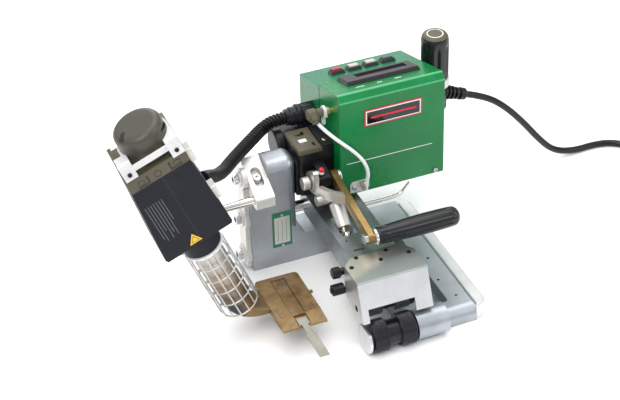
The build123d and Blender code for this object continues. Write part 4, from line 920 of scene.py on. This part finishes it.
class BuildHose(bpy.types.Operator):
    """The corrugated hose and its gland, the sensor cable and its connector"""
    bl_idname = "welder.hose"
    bl_label = "Hose and sensor cable"

    def execute(self, context):
        route = [(-20, 240, 152), (-36, 240, 152), (-53, 232, 150), (-69, 219, 149), (-86, 204, 149.5),
                 (-104, 186, 151.5), (-122, 165, 155), (-138, 146, 165.5), (-150, 129, 180), (-162, 113, 191)]
        line = smooth_line([at(*p) for p in route])
        pitch = {"Pitch": sizes().hose_pitch}
        hose = grown(hose_tree(), "corrugated_hose", pitch, "cord_black", line, angle=60)
        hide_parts("cable_hose")
        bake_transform(hose)

        gland = Shape()
        plane = facing(at(12.5, 240, 152), LEFT, BACK)
        profile = [(-1, 11.5), (16, 11.5), (17, 12.4), (21, 12.4), (22, 10.6), (29, 10.6), (30, 9.4),
                   (34.3, 9.4)]
        gland.turned(plane, profile, "black_plastic", 40)
        for i in range(10):
            angle = 2 * math.pi * i / 10
            rib = facing(at(12.5, 240 + 11.3 * math.cos(angle), 152 + 11.3 * math.sin(angle)), (-1, 0, 0),
                         (0, math.cos(angle), math.sin(angle)))
            gland.extruded(rib, rectangle(1.6, 2.4), 15, "black_plastic")
        gland.done("gland_body", "root", 0.0004, 2, 35, "black_plastic", ("hose_gland",))

        cable_route = [(-9, 184, 180), (-4, 176, 173), (3, 168, 166), (12, 160.5, 158), (25, 156, 146),
                       (36, 153.5, 132), (41.5, 152.5, 116), (40.5, 155, 101), (39, 157, 94)]
        cable = smooth_line([at(*p) for p in cable_route], "sensor_sheath")
        cable.data.bevel_depth = 2.1 * MM
        cable.data.bevel_resolution = 4
        cable.data.use_fill_caps = True
        cable.data.materials.append(FINISHES["cable_white"])
        carry(cable, "root", ("sensor_cable",))

        plug = Shape()
        stub = facing(at(12.6, 186, 185), LEFT, BACK)
        plug.turned(stub, [(-1, 3.4), (3, 3.4), (3.2, 4.6), (6, 4.6), (6.4, 3.2), (9, 3.2)], "brass", 24)
        flange = facing(at(5.5, 186, 185), LEFT, BACK)
        plug.extruded(flange, rectangle(11.5, 12.5, (0, 0), 3.5), 3.5, "collar_grey")
        tab = facing(at(3, 186, 178), DOWN, RIGHT)
        plug.extruded(tab, rectangle(4, 5, (0, 0), 1), 8, "collar_grey")
        plug.turned(facing(at(1, 186, 185), LEFT, BACK), [(0, 5), (6, 5), (8, 6.5), (16, 6.5), (17, 5.5)],
                    "olive_cover", 28)
        plug.turned(facing(at(-9, 187, 186), (0, -0.72, -0.69), RIGHT),
                    [(0, 6.0), (4, 6.4), (9.5, 5.6), (10, 4.4), (13, 3.4)], "olive_cover", 28)
        plug.done("sensor_plug", "root", 0.0003, 2, 35, "connector_metal", ("sensor_connector",))

        clip = Shape()
        face = facing(at(0, 163, 0), FRONT, RIGHT)
        outline = [(23, 86), (23, 97), (26, 100), (46, 100.3), (46, 90), (41, 85)]
        clip.extruded(face, outline, 1.6, "bracket_grey")
        clip.turned(facing(at(39.5, 157.5, 90), UP, RIGHT), [(0, 3.2), (9.5, 3.2), (10.3, 2.4)],
                    "bracket_grey", 24)
        clip.extruded(facing(at(39.5, 163, 92), FRONT, RIGHT), rectangle(5, 8), 4, "bracket_grey")
        clip.turned(facing(at(28.5, 161.6, 92.5), FRONT, RIGHT), [(0, 3.2), (1.6, 3.2), (2.2, 2.2)],
                    "steel_fasteners", 24)
        clip.done("cable_clip", "root", 0.0003, 2, 35, "steel_fasteners", ("cable_bracket",))
        return {"FINISHED"}


class BuildCastings(bpy.types.Operator):
    """Base plate, rail, frame housing, arm, head and the other machined parts"""
    bl_idname = "welder.castings"
    bl_label = "Castings"

    def execute(self, context):
        table = [
            ("base_plate", "cast_aluminium", 0.0009), ("side_rail", "milled_aluminium", 0.0009),
            ("frame_housing", "cast_aluminium", 0.0011), ("side_cover", "pale_casting", 0.001),
            ("clamp_block", "pale_casting", 0.0009), ("arm_channel", "arm_aluminium", 0.0007),
            ("head_housing", "head_aluminium", 0.0011), ("blower_carriage", "cast_aluminium", 0.0009),
            ("lower_axle", "milled_aluminium", 0.0004), ("upper_axle", "black_screw", 0.0003),
            ("guide_shaft", "ground_shaft", 0.0003), ("pivot_shaft", "ground_shaft", 0.0003),
            ("strut_tube", "bracket_grey", 0.0005), ("strut_spindle", "steel_fasteners", 0.0003),
            ("adjusting_nut", "ground_shaft", 0.0005), ("sheet_guide_rod", "ground_shaft", 0.0002),
            ("drive_chain", "dark_steel", 0.0003), ("lever_bracket", "black_plastic", 0.0006),
            ("lever_fork", "fork_steel", 0.0006), ("side_knobs", "black_screw", 0.0005),
            ("guide_roller", "black_plastic", 0.0006), ("gearbox_housing", "black_plastic", 0.0012),
            ("gearbox_cover", "olive_cover", 0.0008), ("terminal_cover", "black_plastic", 0.0008),
            ("drive_motor", "black_plastic", 0.0008),
        ]
        for node, finish, width in table:
            softened(node, finish, width)
        slope = math.radians(27.06)
        up_slant = (0, -math.sin(slope), math.cos(slope))
        side_places = [(-97.0, 194, z, LEFT, 6.4) for z in (17, 66, 120)]
        slant_places = [(-77.3, 185.6, 119.4, up_slant, 4.7)]
        screws("frame_screws", "root", "steel_fasteners", side_places + slant_places, ("socket_bolts",))
        head_places = ((-16, 54.7), (18.4, 54.6), (-27, 41), (7, 41.7), (39.5, 41.7))
        screws("head_cap_screws", "arm", "black_screw",
               [(x, y, 81.6, UP, 2.5) for x, y in head_places], ("head_screws",))
        return {"FINISHED"}


class BuildRollers(bpy.types.Operator):
    """The two drive rollers with their knurled bands"""
    bl_idname = "welder.rollers"
    bl_label = "Rollers"

    def execute(self, context):
        tooth_pitch = 1.45
        for node, radius in (("lower_roller", 17.5), ("upper_roller", 11.5)):
            softened(node, "dark_steel", 0.0003)
            centre = middle(node)
            for side, start in (("left", -23.9), ("right", 7.6)):
                around = int(2 * math.pi * radius / tooth_pitch)
                place = facing(Vector((HOME.x + start * MM, centre.y, centre.z)), RIGHT, BACK)
                teeth = grown(knurl_tree(), f"{node}_knurl_{side}", {
                    "Radius": (radius + 0.05) * MM, "Width": 16.3 * MM, "Along": sizes().knurl_rows,
                    "Around": around, "Tooth": 0.55 * MM}, "knurl_steel", None, place, 10)
                carry(teeth, BODY[node])
        return {"FINISHED"}


def fluted(count, depth, first, last):
    """Long rounded grooves between two places along a grip."""
    def cut(along, angle):
        inside = min(1.0, max(0.0, (along - first) / 4), max(0.0, (last - along) / 4))
        wave = math.cos(angle * count)
        return depth * inside * max(0.0, (wave - 0.2) / 0.8) ** 0.7
    return cut


class BuildLever(bpy.types.Operator):
    """The tension lever: bar, grip and pin"""
    bl_idname = "welder.lever"
    bl_label = "Lever"

    def execute(self, context):
        reach, drop = PIN_Y - GRIP_Y, PIN_Z - GRIP_Z
        run = math.hypot(reach, drop)
        bar = Shape()
        plane = facing(at(0.75, PIN_Y, PIN_Z), RIGHT, (0, -reach / run, -drop / run))
        outline = [(-7.2, 3), (-5, 6), (0, 7.5), (5, 6.6), (12, 6), (run, 6)]
        for i in range(1, 9):
            angle = math.radians(20 * i)
            outline.append((run + 6 * math.sin(angle), 6 * math.cos(angle)))
        outline += [(run, -6), (12, -6), (5, -6.6), (0, -7.5), (-5, -6), (-7.2, -3)]
        bar.extruded(plane, outline, 7.5, "bar_bronze")
        head = facing(at(0.75, GRIP_Y, GRIP_Z), LEFT, BACK)
        bar.extruded(head, circle(6.2, 6), 4.4, "ground_shaft")
        bar.turned(facing(at(8.25, GRIP_Y, GRIP_Z), RIGHT, BACK), [(0, 9.4), (2.4, 9.8), (2.9, 9.2)],
                   "ground_shaft", 40)
        bar.done("lever_bar_body", "lever", 0.0005, 2, 35, "bar_bronze", ("lever_bar",))

        pin = Shape()
        knob = facing(at(-33.5, PIN_Y, PIN_Z), RIGHT, BACK)
        pin.turned(knob, [(0, 6.6), (0.8, 7.5), (7.4, 7.5), (8.4, 6.8)], "fork_steel", 48,
                   lambda along, angle: 0.35 * (1 - math.cos(24 * angle)) / 2)
        pin.turned(facing(at(-25.2, PIN_Y, PIN_Z), RIGHT, BACK), [(0, 3.9), (25.4, 3.9)], "brass", 32)
        nut = [(0, 6.4), (0.9, 7), (1.5, 7), (1.7, 6), (2, 7), (3.2, 7), (3.8, 6.4)]
        pin.turned(facing(at(8.3, PIN_Y, PIN_Z), RIGHT, BACK), nut, "steel_fasteners", 40)
        pin.done("lever_pin_body", "root", 0.0003, 2, 35, "steel_fasteners", ("lever_pin",))

        grip = Shape()
        x0, x1 = 11.45, 109.0
        axis = facing(at(0, GRIP_Y, GRIP_Z), RIGHT, BACK)
        profile = [(x0, 8.6), (x0 + 1, 9.3)]
        steps = 22
        for i in range(1, steps):
            u = i / steps
            swell = 3.0 * math.sin(math.pi * (0.08 + 0.62 * u))
            profile.append((x0 + 1 + u * (x1 - 9 - x0), 9.3 + swell - 0.75))
        end_r = profile[-1][1]
        for i in range(1, 7):
            angle = math.radians(15 * i)
            profile.append((x1 - 9 + 9 * math.sin(angle) - 0.6, max(1.2, end_r * math.cos(angle * 0.95))))
        grip.turned(axis, profile, "grip_black", 96, fluted(8, 1.5, x0 + 6, x1 - 9))
        grip.done("lever_grip_body", "lever_handle", 0, 2, 40, "grip_black", ("lever_grip",))

        cap = Shape()
        lean = (0.1, -0.2, 1)
        cap.turned(facing(at(-11.5, 161, 124), lean, RIGHT), [(0, 3.4), (3, 3.2), (3.4, 2.2)],
                   "collar_grey", 20)
        cap.turned(facing(at(-11.2, 160.4, 127), lean, RIGHT), [(0, 3.1), (3.4, 2.8), (4.2, 0.8)],
                   "mark_red", 20)
        cap.done("end_switch_cap", "root", 0.0002, 1)
        return {"FINISHED"}


class BuildControlBox(bpy.types.Operator):
    """The enamelled control box with its keys, display, badge and marks"""
    bl_idname = "welder.control_box"
    bl_label = "Control box"

    def execute(self, context):
        softened("front_shell", "green_paint", 0.0016, 3)
        softened("rear_shell", "green_paint", 0.0016, 3)
        softened("panel_bezels", "panel_black", 0.0005)
        for node, finish in (("button_red", "key_red"), ("button_plus", "key_white"),
                             ("button_minus", "key_white"), ("button_menu", "key_blue")):
            softened(node, finish, 0.0006, 3)

        front = facing(at(BOX_X, BOX_FRONT_Y, 0), FRONT, RIGHT)
        panel_normal = PANEL.col[2].to_3d()
        badge = Shape()
        low, high = -33.75, 34.75
        centre = ((low + high) / 2, 179.3)
        width, height = high - low, 20.7
        badge.extruded(front, rectangle(width, height, centre, 1), 0.7, "mark_red")
        badge.extruded(front, rectangle(width - 3, height - 3, centre), 0.9, "mark_white")
        badge.extruded(front, rectangle(width - 5.6, height - 5.6, centre), 1.1, "screen")
        badge.extruded(front, rectangle(width - 14, 2.4, centre), 1.3, "mark_red")
        badge.done("badge_plate", "root", 0.0001, 1)

        marks = Shape()
        marks.extruded(front, rectangle(103, 0.7, (-3.7, 125)), 0.25, "mark_white")
        for x, length in ((-30, 10), (-7, 6), (15, 8)):
            spot = facing(PANEL @ Vector((x * MM, 13 * MM, 0)), panel_normal, RIGHT)
            marks.extruded(spot, rectangle(length, 1.1), 0.25, "mark_white")
        marks.done("panel_marks", "root", 0, 1)

        window = Shape()
        spot = facing(PANEL @ Vector((6.8 * MM, 42.2 * MM, 2.2 * MM)), panel_normal, RIGHT)
        window.extruded(spot, rectangle(59, 12.4), 0.5, "screen")
        window.done("display_window", "root", 0, 1)

        places = [(127.4, 163.2, 88.2, FRONT), (138, 176, 92, RIGHT), (138, 268, 92, RIGHT),
                  (12.6, 268, 92, LEFT), (40, 281, 95, BACK), (110, 281, 95, BACK),
                  (40, 281, 165, BACK), (110, 281, 165, BACK)]
        screws("box_screws", "root", "steel_fasteners", [(*place, 2.6) for place in places])
        seam = Shape()
        side = facing(at(12.55, 0, 0), LEFT, FRONT)
        seam.extruded(side, rectangle(2.6, 2.6, (-222.5, 190.5)), 0.3, "screen")
        seam.extruded(side, rectangle(0.7, 108, (-221, 139.2)), 0.15, "screen")
        other_side = facing(at(137.95, 0, 0), RIGHT, BACK)
        seam.extruded(other_side, rectangle(0.7, 108, (221, 139.2)), 0.15, "screen")
        seam.done("shell_seam", "root", 0, 1)
        return {"FINISHED"}


class BuildGrip(bpy.types.Operator):
    """The upright carrying grip on its socket"""
    bl_idname = "welder.carrying_grip"
    bl_label = "Carrying grip"

    def execute(self, context):
        plane = facing(at(CARRY_X, CARRY_Y, 0), UP, RIGHT)
        grip = Shape()
        profile = [(168, 15.2), (169, 15.9), (172, 16)]
        profile += [(176 + 4 * i, 16) for i in range(10)]
        profile += [(216, 16), (219, 15.6), (221.5, 14.6)]
        grip.turned(plane, profile, "grip_black", 96, fluted(7, 2.0, 173, 213))
        grip.turned(plane, [(221.3, 14.7), (223.2, 13.4), (223.9, 11.5)], "olive_cover", 64)
        grip.turned(plane, [(223.6, 9.6), (224.1, 9.4)], "mark_white", 48)
        grip.turned(plane, [(223.8, 8.6), (224.3, 8.2)], "olive_cover", 48)
        grip.done("carrying_grip_body", "root", 0, 2, 40, "grip_black", ("carrying_grip",))
        socket = Shape()
        socket.turned(plane, [(127.9, 13.5), (129, 14.5), (157.5, 14.5), (158.2, 14.5)], "black_plastic", 56)
        block = facing(at(147, CARRY_Y, 129), UP, RIGHT)
        socket.extruded(block, rectangle(18, 26, (0, 0), 1.5), 28, "black_plastic")
        socket.turned(plane, [(158, 16.2), (158.8, 17.3), (166.6, 17.3), (167.9, 16.2)], "collar_grey", 64)
        lug = facing(at(CARRY_X, 209.2, 163), FRONT, RIGHT)
        socket.extruded(lug, rectangle(7, 8.5, (0, 0), 1), 2.4, "collar_grey")
        socket.done("grip_socket_body", "root", 0.0004, 2, 35, "collar_grey", ("grip_socket",))
        return {"FINISHED"}


class BuildBlower(bpy.types.Operator):
    """The blower: casing, motor, strap and hot air tube in its cage"""
    bl_idname = "welder.blower"
    bl_label = "Blower"

    def execute(self, context):
        softened("blower_casing", "blower_plastic", 0.0018, 3)
        softened("casing_cover", "olive_cover", 0.0008)
        softened("motor_strap", "collar_grey", 0.0006)
        softened("heating_element", "heater_ceramic", 0.0003)

        def local(s, y, t, normal=(0, 0, 1), x_axis=(1, 0, 0)):
            turn = BLOWER.to_3x3()
            return facing(BLOWER @ (Vector((s, y, t)) * MM), turn @ Vector(normal), turn @ Vector(x_axis))

        motor = Shape()
        profile = [(238.2, 24.6), (241.5, 24.6), (242, 25.8), (266, 25.8)]
        for i in range(1, 10):
            angle = math.radians(10 * i)
            profile.append((266 + 7 * math.sin(angle), 18.8 + 7 * math.cos(angle)))
        motor.turned(local(6, 0, 0), profile, "motor_grey", 96)
        motor.done("motor_body", "blower", 0, 2, 40, "motor_grey", ("motor_housing",))

        # Painted shade: the dark patches of the top slot, side slots, notches and centre recess stand in for
        # the shade inside these openings; the two thin dark lines are joints.
        vents = Shape()
        top_slot = local(-11, -8, 272.9, (0, 0, 1), (-0.5, -0.87, 0))
        vents.extruded(top_slot, rectangle(13, 4.6, (0, 0), 2), 0.3, "screen")
        for turn in (26, 116, 330):
            angle = math.radians(turn)
            out = (math.cos(angle), math.sin(angle), 0)
            spot = local(6 + 24.9 * out[0], 24.9 * out[1], 261, out, (0, 0, 1))
            vents.extruded(spot, rectangle(4.2, 12, (0, 0), 1.8), 1.15, "screen")
        for s, turn in ((-17, 1), (20, -1)):
            notch = local(s, CASING_FRONT_Y, 229, (0, -1, 0))
            vents.extruded(notch, rectangle(13, 2.2, (0, -4), 0.9), 0.75, "screen")
            vents.extruded(notch, rectangle(2.2, 10, (6 * turn, 0), 0.9), 0.78, "screen")
            vents.extruded(notch, rectangle(8, 5, (-1.5 * turn, 0.6), 1.6), 0.72, "screen")
            vents.extruded(notch, rectangle(6.4, 3.4, (-1.5 * turn, 0.8), 1.2), 0.95, "olive_cover")
        vents.extruded(local(0, CASING_FRONT_Y, 229, (0, -1, 0)), circle(4.0, 28), 0.72, "screen")
        vents.extruded(local(0, CASING_FRONT_Y, 229.6, (0, -1, 0)), circle(3.1, 28), 1.0, "olive_cover")
        vents.extruded(local(0, -29.95, 222.6, (0, -1, 0)), rectangle(66, 0.9), 0.3, "screen")
        vents.extruded(local(1.5, -29.95, 174, (0, -1, 0)), rectangle(0.5, 94), 0.12, "screen")
        vents.done("vent_slots", "blower", 0, 1)

        marks = Shape()
        tri = [(-8, -4.6), (8, -4.6), (0, 9.2)]
        corner = local(-4, -30, 133.5, (0, -1, 0))
        for size, height, finish in ((1.0, 0.3, "screen"), (0.9, 0.4, "mark_yellow"), (0.58, 0.5, "screen"),
                                     (0.46, 0.6, "mark_yellow")):
            marks.extruded(corner, [(size * x, size * y) for x, y in tri], height, finish)
        for i, length in enumerate((46, 50, 38, 50, 44, 49, 30)):
            spot = local(-29.5 + 3.1 * i, -30, 200 - length / 2, (0, -1, 0))
            marks.extruded(spot, rectangle(0.7, length), 0.12, "mark_faint")
        marks.done("heat_mark", "blower", 0, 1)

        feet = Shape()
        for foot_s, t in ((-31, 232), (-36, 176), (-38.5, 136)):
            feet.turned(local(foot_s, -20, t, (-1, 0, 0)), [(0, 4.4), (3.5, 4.4), (5.2, 3.4), (6, 1.8)],
                        "cord_black", 24)
        for s, t in ((34, 222), (36, 166)):
            block = local(s, -17, t, (1, 0, 0), (0, 1, 0))
            feet.extruded(block, rectangle(15, 17, (0, 0), 2), 6.5, "bracket_grey")
            feet.turned(local(s + 6, -17, t, (1, 0, 0)), [(0, 4.4), (2.4, 4.4), (3, 3.6)], "collar_grey", 24)
        feet.done("casing_fittings", "blower", 0.0006, 2)

        tube = Shape()
        tube.turned(local(0, 0, 0), [(12, 16.9), (95, 16.9)], "tube_steel", 64)
        tube.turned(local(0, 0, 0), [(95, 21.6), (96, 22), (97.6, 22), (98.2, 21.2)], "mark_white", 64)
        # The elbow's line bends from the tube's axis to the wedge's level while its round section flattens.
        bend_start = BLOWER @ (Vector((0, 0, 14)) * MM)
        bend_middle = at(-140.5, 83, 36)
        bend_end = at(-112, 83, 34.4)
        tube_radius, duct_half = 16.9, 3.4
        side = Vector(BACK)
        sections = []
        steps = 14
        for i in range(steps + 1):
            u = i / steps
            heading = LEAN + (math.pi / 2 - LEAN) * min(1.0, u * 1.25)
            place = bend_start * (1 - u) ** 2 + bend_middle * 2 * u * (1 - u) + bend_end * u ** 2
            direction = Vector((math.sin(heading), 0, -math.cos(heading)))
            upright = side.cross(direction)
            half_w = tube_radius + 2.0 * u
            half_h = tube_radius + (duct_half - tube_radius) * (u ** 0.85)
            power = 2 + 4 * u
            ring = []
            for k in range(48):
                angle = 2 * math.pi * k / 48
                cx, cy = math.cos(angle), math.sin(angle)
                x = half_w * math.copysign(abs(cx) ** (2 / power), cx)
                y = half_h * math.copysign(abs(cy) ** (2 / power), cy)
                ring.append(place + side * x * MM + upright * y * MM)
            sections.append(ring)
        tube.loft(sections, "elbow_steel")
        tube.done("hot_air_elbow", "blower", 0, 2, 40, "tube_steel", ("hot_air_tube",))

        foot = BLOWER @ Matrix.Translation((0, 0, 3.5 * MM))
        cage = grown(cage_tree(), "cage_wires", {
            "Radius": 21.0 * MM, "Wire": sizes().cage_wire, "Height": 93 * MM, "Rings": sizes().cage_rings,
            "Bars": sizes().cage_bars}, "cage_wire", None, foot, 60)
        carry(cage, "blower", ("wire_cage",))
        places = []
        for s, t in ((-28, 214), (29, 214), (-31, 134), (31, 134)):
            spot = BLOWER @ (Vector((s, 29.6, t)) * MM)
            places.append((*((spot - HOME) / MM), (0, 1, 0), 2.4))
        for s, y in ((-23.8, -33.2), (27.6, -37.7)):
            spot = BLOWER @ (Vector((s, y, 248)) * MM)
            places.append((*((spot - HOME) / MM), (0, -1, 0), 2.3))
        screws("casing_screws", "blower", "black_screw", places)
        return {"FINISHED"}


class BuildWedge(bpy.types.Operator):
    """The hot wedge and the tongue that keeps the test channel open"""
    bl_idname = "welder.wedge"
    bl_label = "Hot wedge"

    def execute(self, context):
        softened("hot_wedge", "wedge_bronze", 0.0005)
        softened("test_channel_tongue", "tongue_steel", 0.0002)
        marks = Shape()
        top = facing(at(-87, 0, 38), UP, RIGHT)
        # Painted shade: small dark dots stand in for the shade inside the wedge's air holes.
        for side in (-1, 1):
            for x, y in ((19.5, 47), (19.5, 51.5), (19.5, 56), (15, 47), (15, 51.5)):
                marks.extruded(top, circle(0.9, 14, (side * x, y)), 0.08, "screen")
        for x in (-7.7, 7.7):
            marks.extruded(top, rectangle(0.5, 62, (x, 77)), 0.1, "screen")
        marks.done("wedge_holes", "blower", 0, 1)
        return {"FINISHED"}


class BuildPlates(bpy.types.Operator):
    """The blank type plate, the small marks on the castings and painted shade in the base plate's holes."""
    bl_idname = "welder.plates"
    bl_label = "Plates"

    def execute(self, context):
        plate = Shape()
        face = facing(at(0, 178.5, 0), FRONT, RIGHT)
        plate.extruded(face, rectangle(23, 47, (-53, 48.5), 0.6), 0.5, "mark_green")
        plate.extruded(face, rectangle(18.4, 36, (-53, 47.5), 0.4), 0.65, "fork_steel")
        for y in (68.5, 27.4):
            plate.turned(facing(at(-53, 178.1, y), FRONT, RIGHT), [(0, 1.6), (1.1, 1.6), (1.5, 1.0)],
                         "steel_fasteners", 20)
        for x in (-58, -53, -48):
            plate.extruded(face, rectangle(0.5, 30, (x, 47)), 0.75, "mark_green")
        plate.done("type_plate", "root", 0.0001, 1)

        # Painted shade: dark discs on the base plate stand in for the shade inside its holes.
        holes = Shape()
        for x, y in ((90, 28), (90, 100), (90, 170), (84, 60)):
            holes.turned(facing(at(x, y, 17.4), UP, RIGHT), [(0, 1.5), (0.65, 1.5)], "screen", 20)
        holes.done("plate_holes", "root", 0, 1)

        lid = Shape()
        lid_z = 143.9
        lid.turned(facing(at(5.7, 192, 144.6), UP, RIGHT), [(0, 3.0), (0.9, 3.0), (1.2, 2.5)], "brass", 28)
        lid.turned(facing(at(5.7, 192, 144.9), UP, RIGHT), [(0, 1.6), (1.0, 1.6)], "screen", 20)
        for x, y, w, h in ((-17, 212, 9, 3), (-12, 214, 3, 6), (-20, 195, 4, 8), (-8, 190, 3, 7)):
            lid.extruded(facing(at(x, y, lid_z), UP, RIGHT), rectangle(w, h, (0, 0), 0.8), 0.25, "screen")
        label = facing(at(-17, 200, lid_z), UP, RIGHT)
        lid.extruded(label, rectangle(9, 6, (0, 0), 0.4), 0.35, "mark_white")
        lid.done("gearbox_marks", "root", 0, 1)
        return {"FINISHED"}


class WelderPanel(bpy.types.Panel):
    """Sizes, colours and pieces of the welder"""
    bl_idname = "VIEW3D_PT_welder"
    bl_label = "Seam welder"
    bl_space_type = "VIEW_3D"
    bl_region_type = "UI"
    bl_category = "Welder"

    def draw(self, context):
        for group in (context.scene.welder_colours, context.scene.welder_sizes):
            for name in group.bl_rna.properties.keys():
                if name not in ("rna_type", "name"):
                    self.layout.prop(group, name)
        for operator in OPERATORS:
            self.layout.operator(operator.bl_idname)


OPERATORS = (BuildStage, BuildCord, BuildHose, BuildCastings, BuildRollers, BuildLever, BuildControlBox,
             BuildGrip, BuildBlower, BuildWedge, BuildPlates)
CLASSES = (WelderColours, WelderSizes) + OPERATORS + (WelderPanel,)


def register():
    for cls in CLASSES:
        bpy.utils.register_class(cls)
    bpy.types.Scene.welder_colours = PointerProperty(type=WelderColours)
    bpy.types.Scene.welder_sizes = PointerProperty(type=WelderSizes)


def unregister():
    del bpy.types.Scene.welder_sizes
    del bpy.types.Scene.welder_colours
    for cls in reversed(CLASSES):
        bpy.utils.unregister_class(cls)


def main():
    register()
    make_finishes(bpy.context.scene.welder_colours)
    bpy.ops.welder.stage()
    bpy.ops.welder.mains_cord()
    bpy.ops.welder.hose()
    bpy.ops.welder.castings()
    bpy.ops.welder.rollers()
    bpy.ops.welder.lever()
    bpy.ops.welder.control_box()
    bpy.ops.welder.carrying_grip()
    bpy.ops.welder.blower()
    bpy.ops.welder.wedge()
    bpy.ops.welder.plates()


if __name__ == "__main__":
    main()
